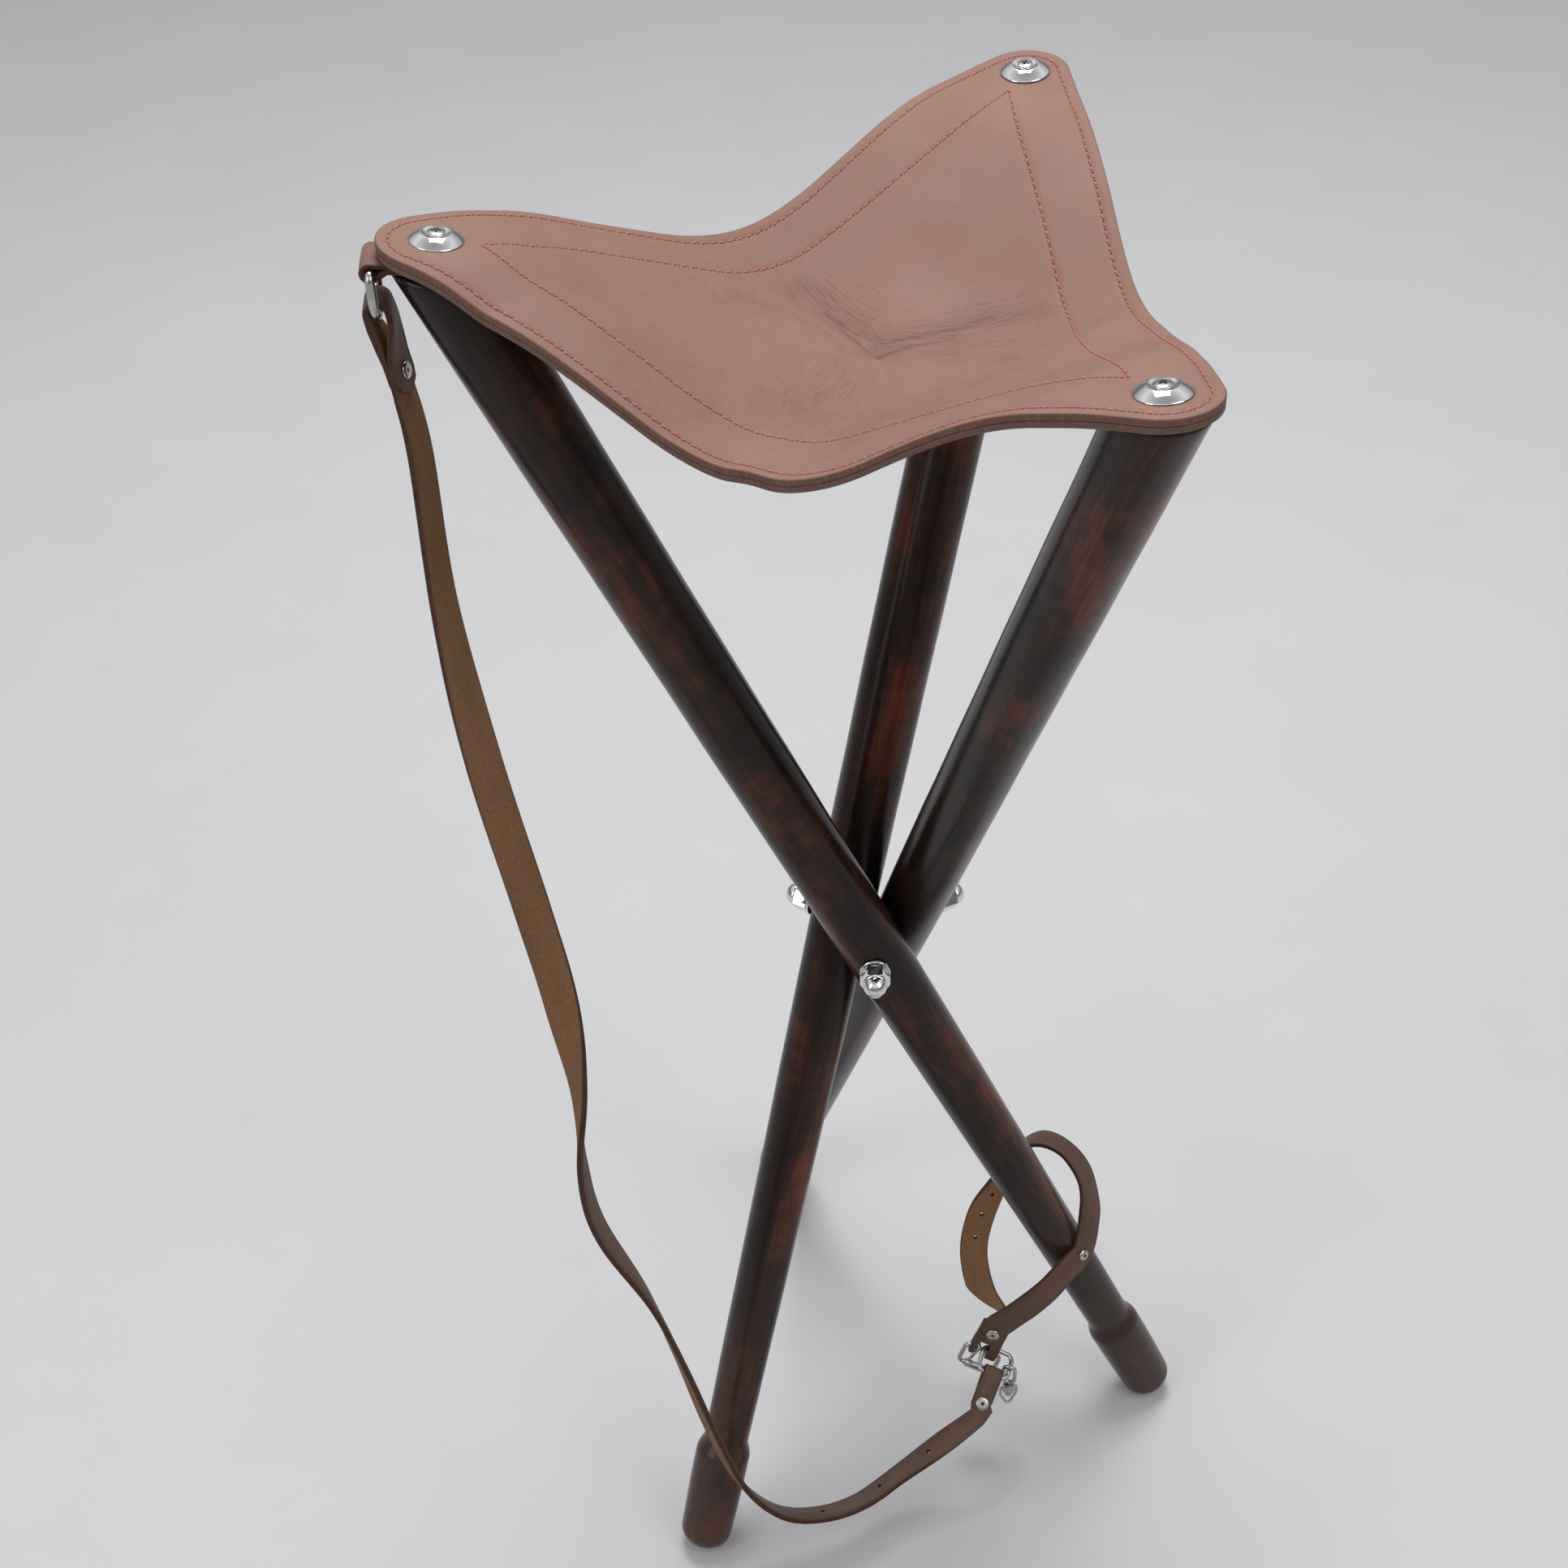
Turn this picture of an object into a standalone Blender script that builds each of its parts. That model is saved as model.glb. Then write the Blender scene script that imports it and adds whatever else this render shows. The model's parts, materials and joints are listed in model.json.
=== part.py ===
"""Folding tripod stool: three turned legs on a three-way bolt, a slung leather seat and two straps."""
import math

import bmesh
import bpy
from mathutils import Matrix, Vector

# Sizes in metres, angles in degrees.
GAP = 0.0003
UP = Vector((0, 0, 1))

# Tripod: each leg turns on one arm of the three-way bolt and leans sideways from it.
ARM_AZIMUTH = {"left": -90, "rear": 150, "right": 30}
LEAN = 25
LEG_ABOVE = 0.415
LEG_BELOW = 0.383
LEG_TOP_RADIUS = 0.0184
LEG_PIVOT_RADIUS = 0.0158
LEG_NECK_RADIUS = 0.0122
LEG_SIDES = 36
LEG_TOP_ROUND = 0.003
TOP_ALLOWANCE = 0.016
FOOT_RADIUS = 0.0150
FOOT_END_RADIUS = 0.0140
FOOT_LENGTH = 0.066
FOOT_FLARE = 0.008
FOOT_ROUND = 0.009
FOOT_FLAT_DEPTH = 0.0008

# Three-way bolt with a washer and a cap nut on each arm.
ROD_RADIUS = 0.004
ROD_PAST_CENTRE = 0.002
LEG_SPACING = 0.0011
WASHER_RADIUS = 0.0077
WASHER_THICKNESS = 0.0015
NUT_ACROSS_FLATS = 0.013
NUT_HEX_HEIGHT = 0.0085
NUT_DOME_RADIUS = 0.0062
NUT_DOME_HEIGHT = 0.0066
NUT_BORE_DEPTH = 0.0095
ROD_IN_NUT = 0.0090

# Seat: two layers of leather slung between the leg tops.
LEATHER = 0.003
SEAT_DEPTH = 0.056
SEAT_MARGIN = {"left": 0.0245, "right": 0.0225, "rear": 0.0205}
CORNER_TILT = 6.5
LIFT_START = 0.08
LIFT_END = 0.86
HOLD_FROM = 0.0195
HOLD_TO = 0.040
SAG_START = 0.02
SAG_GROWTH = 0.10
EDGE_POWER = 1.6
EDGES = (("left", "right", 0.0), ("right", "rear", -0.001), ("rear", "left", 0.010))
# Sag of each edge from its first corner to the next: depth, place, width and power of a bell curve.
SAGS = {
    "left": ((0.025, 0.41, 0.33, 2.6),),
    "right": ((0.007, 0.24, 0.13, 2.0), (-0.005, 0.62, 0.13, 2.0)),
    "rear": ((0.0064, 0.74, 0.13, 2.0), (-0.002, 0.41, 0.08, 2.0)),
}
SEAT_RINGS = (0.12, 0.25, 0.38, 0.5, 0.61, 0.71, 0.80, 0.88, 0.95, 1.0)
ARC_STEPS = 7
EDGE_STEPS = 10

# Cup washer and raised countersunk screw at each corner.
CUP_RADIUS = 0.0115
CUP_HEIGHT = 0.0043
CUP_LIP_RADIUS = 0.0062
HEAD_RADIUS = 0.0050
HEAD_EDGE_HEIGHT = 0.0041
HEAD_RISE = 0.0014
SHANK_RADIUS = 0.0023
SCREW_LENGTH = 0.0270
RECESS_WIDTH = 0.0013
RECESS_DEPTH = 0.0022

# Ring tab, D-ring and the carrying strap that hangs from it.
TAB_LEATHER = 0.0022
TAB_WIDTH = 0.022
TAB_INNER = 0.014
TAB_FLAT = 0.0205
TAB_WRAP = 125
D_BAR_OUT = 0.0275
D_WIRE = 0.002
D_HALF_WIDTH = 0.0135
D_SIDE = 0.0085
D_CORNER = 0.0022
STRAP_LEATHER = 0.0026
CARRY_WIDTH = 0.017
CARRY_END_WIDTH = 0.011
CARRY_TAPER = 0.070
CARRY_FOLD = 0.0033
CARRY_HANG = Vector((0.18, -0.05, -0.98))
TOP_WIDE = 0.006
TOP_SETTLE = 0.024
TOP_RIVET_DOWN = 0.030
TOP_END_DOWN = 0.040
END_WIDE = 0.003
END_SETTLE = 0.012
END_RIVET_BACK = 0.017
END_END_BACK = 0.025
STRAP_STEP = 0.010
TURN_FROM = Vector((0.05, -0.68, 0.73))
CARRY_ROUTE = (
    (-0.1920, -0.030, 0.644, -27),
    (-0.1865, -0.050, 0.579, -34),
    (-0.1735, -0.075, 0.515, -72),
    (-0.1550, -0.100, 0.448, -93),
    (-0.1445, -0.115, 0.407, -107),
    (-0.1384, -0.130, 0.364, -155),
    (-0.1380, -0.145, 0.325, -188),
    (-0.1320, -0.150, 0.288, -196),
    (-0.1120, -0.150, 0.236, -180),
    (-0.0993, -0.145, 0.179, -169),
    (-0.0864, -0.138, 0.108, -164),
    (-0.0731, -0.137, 0.063, -172),
    (-0.0540, -0.137, 0.0387, -184),
    (-0.0320, -0.132, 0.0293, -194),
    (-0.0096, -0.122, 0.0272, -199),
    (0.0131, -0.105, 0.0296, -204),
)

# Leg strap, screwed across the left leg; its route is told from the screw (across, up, out).
LEG_STRAP_WIDTH = 0.016
STRAP_SCREW_AT = -0.2485
STRAP_SCREW_TURN = 44
STRAP_SCREW_RADIUS = 0.0016
STRAP_SCREW_HEAD = 0.0042
STRAP_SCREW_RISE = 0.0026
STRAP_SCREW_LENGTH = 0.012
LEG_STRAP_ROUTE = (
    (-0.037, -0.064, -0.071),
    (-0.035, -0.040, -0.074),
    (-0.026, -0.012, -0.073),
    (-0.012, 0.010, -0.067),
    (0.005, 0.027, -0.058),
    (0.019, 0.044, -0.047),
    (0.030, 0.051, -0.033),
    (0.034, 0.045, -0.019),
    (0.031, 0.033, -0.008),
    (0.0226, 0.021, -0.002),
    (0.0113, 0.0090, 0.0),
    (0.0, 0.0, 0.0),
    (-0.0120, 0.001, 0.0),
    (-0.0260, -0.005, -0.0060),
    (-0.0390, -0.0110, -0.0150),
    (-0.0480, -0.0170, -0.0245),
)
LEG_STRAP_SIDES = (
    (-0.98, -0.10, -0.15),
    (-1.00, 0.00, 0.00),
    (-1.00, 0.00, 0.05),
    (-0.97, 0.05, 0.20),
    (-0.78, -0.50, 0.37),
    (-0.45, -0.86, 0.25),
    (-0.43, -0.87, 0.23),
    (-0.46, -0.82, 0.35),
    (-0.55, -0.75, 0.38),
    (-0.54, -0.10, 0.83),
    (-0.54, -0.12, 0.83),
    (-0.54, -0.12, 0.83),
    (-0.58, -0.10, 0.80),
    (-0.70, -0.02, 0.70),
    (-0.85, 0.06, 0.45),
    (-0.95, 0.12, 0.20),
)
TAIL_POINT = 0.012
HOLE_RADIUS = 0.0013
TAIL_HOLES = (0.066, 0.083, 0.097)
CARRY_HOLES = (0.095, 0.130, 0.165)

# Buckle, link ring and swivel hook at the free end of the leg strap.
FOLD_AT = Vector((-0.066, -0.035, -0.0402))
BAR_DIRECTION = Vector((0.92, -0.20, -0.33))
BUCKLE_DIRECTION = Vector((-0.36, -0.15, -0.92))
RING_DIRECTION = Vector((-0.25, -0.94, -0.21))
ARRIVAL = Vector((0.30, 0.72, 0.60))
BUCKLE_WIRE = 0.0013
BUCKLE_HALF_WIDTH = 0.0103
BUCKLE_REACH = 0.013
BUCKLE_CORNER = 0.0025
ROLLER_RADIUS = 0.0023
ROLLER_LENGTH = 0.013
PRONG_WIRE = 0.001
PRONG_AT = -0.0036
PRONG_LENGTH = 0.0155
PRONG_DROP = 29
SLOT_FROM = -0.0052
SLOT_TO = 0.0022
SLOT_BACK = 0.0075
FOLD_WIDE = 0.0050
FOLD_SETTLE = 0.0100
FOLD_RIVET_BACK = 0.0145
FOLD_END_BACK = 0.0195
RING_WIRE = 0.0013
RING_BACK = 0.0034
RING_LEFT = -0.0008
RING_INNER = 0.015
RING_REACH = 0.015
RING_CORNER = 0.004
EYE_AT = 0.0085
EYE_WIRE = 0.0012
EYE_BEND = 0.0032
EYE_STRAIGHT = 0.007
COLLAR_RADIUS = 0.0035
COLLAR_HEIGHT = 0.006
STEM_RADIUS = 0.0012
BALL_RADIUS = 0.0022
BAIL_WIRE = 0.0008
BAIL_HALF_WIDTH = 0.0047
BAIL_STRAIGHT = 0.006
BAIL_LENGTH = 0.014
BAIL_IN = 0.0022
BAIL_TURN = 25

# Rivets
RIVET_HEAD = 0.0038
RIVET_CAP = 0.0010
RIVET_SHANK = 0.0016
RIVET_BORE = 0.0009
WIRE_SIDES = 10
SMALL_SIDES = 20
CUP_SIDES = 28
RIVET_SIDES = 14


def clear_scene():
    for item in list(bpy.data.objects):
        bpy.data.objects.remove(item, do_unlink=True)


def material(name, colour, roughness, metallic=0.0):
    made = bpy.data.materials.new(name)
    made.use_nodes = True
    shader = made.node_tree.nodes["Principled BSDF"]
    shader.inputs["Base Color"].default_value = (*colour, 1)
    shader.inputs["Roughness"].default_value = roughness
    shader.inputs["Metallic"].default_value = metallic
    return made


def solid(verts, faces):
    """Mesh whose faces all look outwards."""
    mesh = bpy.data.meshes.new("solid")
    mesh.from_pydata([tuple(v) for v in verts], [], faces)
    made = bmesh.new()
    made.from_mesh(mesh)
    bmesh.ops.recalc_face_normals(made, faces=made.faces)
    made.to_mesh(mesh)
    made.free()
    return mesh


def add(name, mesh, look, at=None):
    item = bpy.data.objects.new(name, mesh)
    mesh.name = name
    mesh.materials.clear()
    mesh.materials.append(look)
    bpy.context.scene.collection.objects.link(item)
    item.parent = root
    item.matrix_local = at if at is not None else Matrix.Identity(4)
    return item


def frame(origin, across, out):
    """Placing matrix whose X is along `across` and Z along `out`."""
    z = out.normalized()
    x = (across - across.dot(z) * z).normalized()
    y = z.cross(x)
    made = Matrix((x, y, z)).transposed().to_4x4()
    made.translation = origin
    return made


def turned(profile, sides):
    """Profile of (radius, height) turned about Z; it closes on the axis or on itself."""
    verts = []
    rings = []
    for radius, height in profile:
        count = sides if radius > 0 else 1
        rings.append(range(len(verts), len(verts) + count))
        for k in range(count):
            turn = 2 * math.pi * k / sides
            verts.append((radius * math.cos(turn), radius * math.sin(turn), height))
    pairs = list(zip(rings, rings[1:]))
    if profile[0][0] > 0:
        pairs.append((rings[-1], rings[0]))
    faces = []
    for low, high in pairs:
        for k in range(sides):
            j = k + 1
            corners = (low[k % len(low)], low[j % len(low)], high[j % len(high)], high[k % len(high)])
            faces.append(tuple(dict.fromkeys(corners)))
    return solid(verts, faces)


def skin(rings, closed=False):
    """Mesh over a row of equal rings, with capped ends unless it is closed."""
    count = len(rings[0])
    verts = [v for ring in rings for v in ring]
    faces = []
    pairs = len(rings) if closed else len(rings) - 1
    for i in range(pairs):
        a = i * count
        b = ((i + 1) % len(rings)) * count
        for k in range(count):
            j = (k + 1) % count
            faces.append((a + k, a + j, b + j, b + k))
    if not closed:
        faces.append(tuple(range(count)))
        faces.append(tuple(range(len(verts) - count, len(verts))))
    return solid(verts, faces)


def directions(points, closed=False):
    found = []
    last = len(points) - 1
    for i in range(len(points)):
        before = points[i - 1] if i > 0 or closed else points[0]
        after = points[(i + 1) % len(points)] if i < last or closed else points[last]
        found.append((after - before).normalized())
    return found


def wire(points, radius, normal, closed=False):
    """Round wire along a path that lies in the plane across `normal`."""
    rings = []
    for point, along in zip(points, directions(points, closed)):
        side = normal.cross(along).normalized()
        ring = []
        for k in range(WIRE_SIDES):
            turn = 2 * math.pi * k / WIRE_SIDES
            ring.append(point + radius * (math.cos(turn) * side + math.sin(turn) * normal))
        rings.append(ring)
    return skin(rings, closed)


def arc(centre, a, b, radius, start, stop, steps):
    """Points of an arc about `centre` in the plane of unit vectors a and b."""
    points = []
    for k in range(steps + 1):
        turn = math.radians(start + (stop - start) * k / steps)
        points.append(centre + radius * (math.cos(turn) * a + math.sin(turn) * b))
    return points


def rounded_loop(centre, a, b, half_a, half_b, corner, steps=4):
    """Closed rounded rectangle in the plane of a and b."""
    points = []
    for k, (sa, sb) in enumerate(((1, 1), (-1, 1), (-1, -1), (1, -1))):
        middle = centre + sa * (half_a - corner) * a + sb * (half_b - corner) * b
        points.extend(arc(middle, a, b, corner, 90 * k, 90 * k + 90, steps))
    return points


def curve_through(points, sides, step):
    """Smooth row of points and side directions through the given ones."""
    path = []
    edges = []
    last = len(points) - 1
    for i in range(last):
        knots = [points[max(i - 1, 0)], points[i], points[i + 1], points[min(i + 2, last)]]
        lean_knots = [sides[max(i - 1, 0)], sides[i], sides[i + 1], sides[min(i + 2, last)]]
        parts = max(1, round((points[i + 1] - points[i]).length / step))
        for k in range(parts):
            t = k / parts
            path.append(spline(knots, t))
            edges.append(spline(lean_knots, t))
    path.append(points[last].copy())
    edges.append(sides[last].copy())
    return path, edges


def spline(knots, t):
    a, b, c, d = knots
    bend = 2 * a - 5 * b + 4 * c - d
    twist = 3 * b - a - 3 * c + d
    return 0.5 * (2 * b + t * (c - a) + t * t * bend + t ** 3 * twist)


def strap_rings(path, edges, widths, thickness):
    """Four-cornered rings of a flat strap; its grain side looks along edge x path."""
    rings = []
    for point, edge, along, width in zip(path, edges, directions(path), widths):
        grain = edge.cross(along).normalized()
        across = along.cross(grain)
        w = across * width / 2
        h = grain * thickness / 2
        rings.append([point + w + h, point - w + h, point - w - h, point + w - h])
    return rings


def carve(item, tool, at, operation="DIFFERENCE"):
    """Cut or join the tool mesh, placed in the item's own frame."""
    bpy.context.view_layer.update()
    helper = bpy.data.objects.new("tool", tool)
    bpy.context.scene.collection.objects.link(helper)
    helper.matrix_world = item.matrix_world @ at
    joint = item.modifiers.new("carve", "BOOLEAN")
    joint.object = helper
    joint.operation = operation
    joint.solver = "EXACT"
    bpy.context.view_layer.update()
    seen = item.evaluated_get(bpy.context.evaluated_depsgraph_get())
    made = bpy.data.meshes.new_from_object(seen)
    item.modifiers.remove(joint)
    bpy.data.objects.remove(helper, do_unlink=True)
    item.data = made
    return item


def rod(radius, low, high, sides=SMALL_SIDES):
    return turned([(0, low), (radius, low), (radius, high), (0, high)], sides)


def box(size, centre=(0, 0, 0)):
    made = bmesh.new()
    bmesh.ops.create_cube(made, size=1)
    bmesh.ops.scale(made, vec=size, verts=made.verts)
    bmesh.ops.translate(made, vec=centre, verts=made.verts)
    mesh = bpy.data.meshes.new("box")
    made.to_mesh(mesh)
    made.free()
    return mesh


def keep_below(mesh, point, normal, round_edge=0.0):
    """Saw the mesh at a plane, close the cut and ease its edge."""
    made = bmesh.new()
    made.from_mesh(mesh)
    geometry = made.verts[:] + made.edges[:] + made.faces[:]
    cut = bmesh.ops.bisect_plane(made, geom=geometry, plane_co=point, plane_no=normal, clear_outer=True)
    rim = [e for e in cut["geom_cut"] if isinstance(e, bmesh.types.BMEdge)]
    bmesh.ops.contextual_create(made, geom=rim)
    if round_edge:
        bmesh.ops.bevel(made, geom=rim, offset=round_edge, segments=2, profile=0.5, affect="EDGES")
    bmesh.ops.recalc_face_normals(made, faces=made.faces)
    made.to_mesh(mesh)
    made.free()


def arm(side):
    turn = math.radians(ARM_AZIMUTH[side])
    return Vector((math.cos(turn), math.sin(turn), 0))


def leg_direction(side):
    tilt = math.radians(LEAN)
    return math.cos(tilt) * UP + math.sin(tilt) * arm(side).cross(UP)


def arm_reach():
    """Distance from the bolt's middle to a leg's axis: two legs pass each other at LEG_SPACING."""
    apart = 2 * LEG_PIVOT_RADIUS + LEG_SPACING
    a = arm("left")
    b = arm("right")
    across = leg_direction("left").cross(leg_direction("right")).normalized()
    return apart / abs((a - b).dot(across))


def pivot_height():
    tilt = math.radians(LEAN)
    flat = FOOT_END_RADIUS - FOOT_ROUND
    drop = (LEG_BELOW - FOOT_ROUND) * math.cos(tilt) + flat * math.sin(tilt) + FOOT_ROUND
    return drop - FOOT_FLAT_DEPTH


def hub():
    return Vector((0, 0, pivot_height()))


def leg_frame(side):
    return frame(hub() + arm_reach() * arm(side), arm(side), leg_direction(side))


def leg_top(side):
    return leg_frame(side) @ Vector((0, 0, LEG_ABOVE))


def corner_direction(side):
    top = leg_top(side)
    return Vector((top.x, top.y, 0)).normalized()


def stud_radius():
    top = leg_top("left")
    return math.hypot(top.x, top.y)


def corner_slope():
    return math.tan(math.radians(CORNER_TILT))


def corner_normal(side):
    return (UP - corner_slope() * corner_direction(side)).normalized()


def tab_stack(side):
    return 2 * (TAB_LEATHER + GAP) if side == "left" else 0.0


def corner_height(side):
    return leg_top(side).z + tab_stack(side) + 2 * (LEATHER + GAP)


def lift(side, x, y):
    """Rise of the seat towards one corner; flat and tilted inwards over the leg's top."""
    reach = stud_radius()
    out = corner_direction(side).dot(Vector((x, y, 0))) / reach
    rise = corner_height(side) - seat_low() - corner_slope() * (1 - LIFT_END) * reach
    if out >= LIFT_END:
        return rise + corner_slope() * (out - LIFT_END) * reach
    w = max(0.0, (out - LIFT_START) / (LIFT_END - LIFT_START))
    end_slope = corner_slope() * reach * (LIFT_END - LIFT_START)
    return rise * (3 * w * w - 2 * w ** 3) + end_slope * (w ** 3 - w * w)


def seat_low():
    return corner_height("rear") - SEAT_DEPTH


def seat_height(x, y):
    height = seat_low() + sum(lift(side, x, y) for side in ARM_AZIMUTH)
    point = Vector((x, y, 0))
    hold = 1.0
    for side in ARM_AZIMUTH:
        away = (point - corner_direction(side) * stud_radius()).length
        w = min(1.0, max(0.0, (away - HOLD_FROM) / (HOLD_TO - HOLD_FROM)))
        hold *= w * w * (3 - 2 * w)
    for first, second, _ in EDGES:
        out = (corner_direction(first) + corner_direction(second)).normalized()
        run = corner_direction(second) - corner_direction(first)
        t = 0.5 + run.dot(point) / run.length_squared / stud_radius()
        b = max(0.0, out.dot(point) / (stud_radius() / 2 + SEAT_MARGIN[first]))
        w = min(1.0, max(0.0, (min(t, 1 - t) + SAG_START) / SAG_GROWTH))
        grown = hold * b * b * w * w * (3 - 2 * w)
        for depth, place, width, power in SAGS[first]:
            height -= grown * depth * math.exp(-abs((t - place) / width) ** power)
    return height


def rim():
    """Outline of the seat: an arc round each stud and a curved side to the next one."""
    points = []
    for (first, second, hollow), before in zip(EDGES, (EDGES[-1], *EDGES[:-1])):
        start = corner_direction(first) * stud_radius()
        end = corner_direction(second) * stud_radius()
        out = (start + end).normalized()
        last_out = (corner_direction(before[0]) + corner_direction(before[1])).normalized()
        turned_side = UP.cross(last_out)
        points.extend(arc(start, last_out, turned_side, SEAT_MARGIN[first], 0, 120, ARC_STEPS))
        for k in range(1, EDGE_STEPS + 1):
            t = k / (EDGE_STEPS + 1)
            margin = SEAT_MARGIN[first] + t * (SEAT_MARGIN[second] - SEAT_MARGIN[first])
            bow = margin - hollow * math.sin(math.pi * t) ** EDGE_POWER
            points.append(start.lerp(end, t) + bow * out)
    return points


def seat_layer(name, top, look):
    """One leather layer whose upper face lies `top` below the seat's surface."""
    outline = rim()
    count = len(outline)
    verts = []
    for offset in (-top, -top - LEATHER):
        verts.append(Vector((0, 0, seat_height(0, 0) + offset)))
        for share in SEAT_RINGS:
            for point in outline:
                x, y = share * point.x, share * point.y
                verts.append(Vector((x, y, seat_height(x, y) + offset)))
    size = 1 + count * len(SEAT_RINGS)
    faces = []
    for layer in (0, size):
        for k in range(count):
            j = (k + 1) % count
            faces.append((layer, layer + 1 + k, layer + 1 + j))
            for ring in range(len(SEAT_RINGS) - 1):
                a = layer + 1 + ring * count
                b = a + count
                faces.append((a + k, b + k, b + j, a + j))
    edge = 1 + count * (len(SEAT_RINGS) - 1)
    for k in range(count):
        j = (k + 1) % count
        faces.append((edge + k, size + edge + k, size + edge + j, edge + j))
    item = add(name, solid(verts, faces), look)
    for side in ARM_AZIMUTH:
        hole = rod(SHANK_RADIUS + GAP, -SCREW_LENGTH, SCREW_LENGTH)
        carve(item, hole, corner_frame(side))
    return item


def corner_frame(side):
    """On the seat's surface at a stud: X outwards, Z along the screw."""
    point = corner_direction(side) * stud_radius() + corner_height(side) * UP
    return frame(point, corner_direction(side), corner_normal(side))


def leg(side, look):
    flat = FOOT_END_RADIUS - FOOT_ROUND
    foot_top = -LEG_BELOW + FOOT_LENGTH
    slope = (LEG_TOP_RADIUS - LEG_PIVOT_RADIUS) / LEG_ABOVE
    profile = [(0, -LEG_BELOW)]
    for k in range(5):
        turn = math.radians(22.5 * k)
        out = flat + FOOT_ROUND * math.sin(turn)
        profile.append((out, -LEG_BELOW + FOOT_ROUND * (1 - math.cos(turn))))
    profile.append((FOOT_RADIUS, foot_top - 2 * FOOT_FLARE))
    profile.append((FOOT_RADIUS, foot_top - FOOT_FLARE))
    profile.append(((FOOT_RADIUS + LEG_NECK_RADIUS) / 2, foot_top - FOOT_FLARE / 4))
    profile.append((LEG_NECK_RADIUS, foot_top + FOOT_FLARE / 3))
    profile.append((LEG_PIVOT_RADIUS, 0))
    top = LEG_ABOVE + TOP_ALLOWANCE
    profile.append((LEG_PIVOT_RADIUS + slope * top, top))
    profile.append((0, top))
    mesh = turned(profile, LEG_SIDES)
    place = leg_frame(side)
    inside = place.inverted()
    turn_in = inside.to_3x3()
    keep_below(mesh, inside @ leg_top(side), turn_in @ corner_normal(side), LEG_TOP_ROUND)
    keep_below(mesh, inside @ Vector((0, 0, 0)), turn_in @ -UP)
    item = add("leg_" + side, mesh, look, place)
    reach = arm_reach() + LEG_PIVOT_RADIUS
    carve(item, rod(ROD_RADIUS + GAP, -reach, reach), Matrix.Rotation(math.pi / 2, 4, "Y"))
    pilot = rod(SHANK_RADIUS + GAP, -SCREW_LENGTH - GAP, SCREW_LENGTH)
    carve(item, pilot, inside @ corner_frame(side))
    if side == "left":
        pilot = rod(STRAP_SCREW_RADIUS + GAP, -STRAP_SCREW_LENGTH - GAP, STRAP_SCREW_LENGTH)
        carve(item, pilot, inside @ strap_seat())
    return item


def pivot(look):
    """Three-way bolt, then a washer and a cap nut on each arm."""
    outside = arm_reach() + LEG_PIVOT_RADIUS + GAP
    nut_at = outside + WASHER_THICKNESS + GAP
    length = nut_at + ROD_IN_NUT
    base = Matrix.Translation(hub())
    bolt = add("three_way_bolt", rod(ROD_RADIUS, -ROD_PAST_CENTRE, ROD_PAST_CENTRE), look, base)
    for side in ARM_AZIMUTH:
        place = frame(Vector((0, 0, 0)), UP, arm(side))
        carve(bolt, rod(ROD_RADIUS, -ROD_PAST_CENTRE, length), place, "UNION")
    hole = ROD_RADIUS + GAP
    ring = [(hole, 0), (WASHER_RADIUS, 0), (WASHER_RADIUS, WASHER_THICKNESS), (hole, WASHER_THICKNESS)]
    for side in ARM_AZIMUTH:
        out = arm(side)
        add("pivot_washer_" + side, turned(ring, SMALL_SIDES), look, frame(hub() + outside * out, UP, out))
        cap_nut(side, frame(hub() + nut_at * out, UP, out), look)


def cap_nut(side, place, look):
    hex_radius = NUT_ACROSS_FLATS / 2 / math.cos(math.radians(30))
    item = add("cap_nut_" + side, rod(hex_radius, 0, NUT_HEX_HEIGHT, 6), look, place)
    dome = [(0, NUT_HEX_HEIGHT / 2), (NUT_DOME_RADIUS, NUT_HEX_HEIGHT / 2)]
    for k in range(5):
        turn = math.radians(18 * k)
        rise = NUT_DOME_HEIGHT * math.sin(turn)
        dome.append((NUT_DOME_RADIUS * math.cos(turn), NUT_HEX_HEIGHT + rise))
    dome.append((0, NUT_HEX_HEIGHT + NUT_DOME_HEIGHT))
    carve(item, turned(dome, SMALL_SIDES), Matrix.Identity(4), "UNION")
    carve(item, rod(ROD_RADIUS + GAP, -NUT_BORE_DEPTH, NUT_BORE_DEPTH), Matrix.Identity(4))


def cross_recess(item, top, width):
    for k in range(2):
        slot = box((width, RECESS_WIDTH, 2 * RECESS_DEPTH))
        place = Matrix.Translation((0, 0, top)) @ Matrix.Rotation(k * math.pi / 2, 4, "Z")
        carve(item, slot, place)


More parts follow.
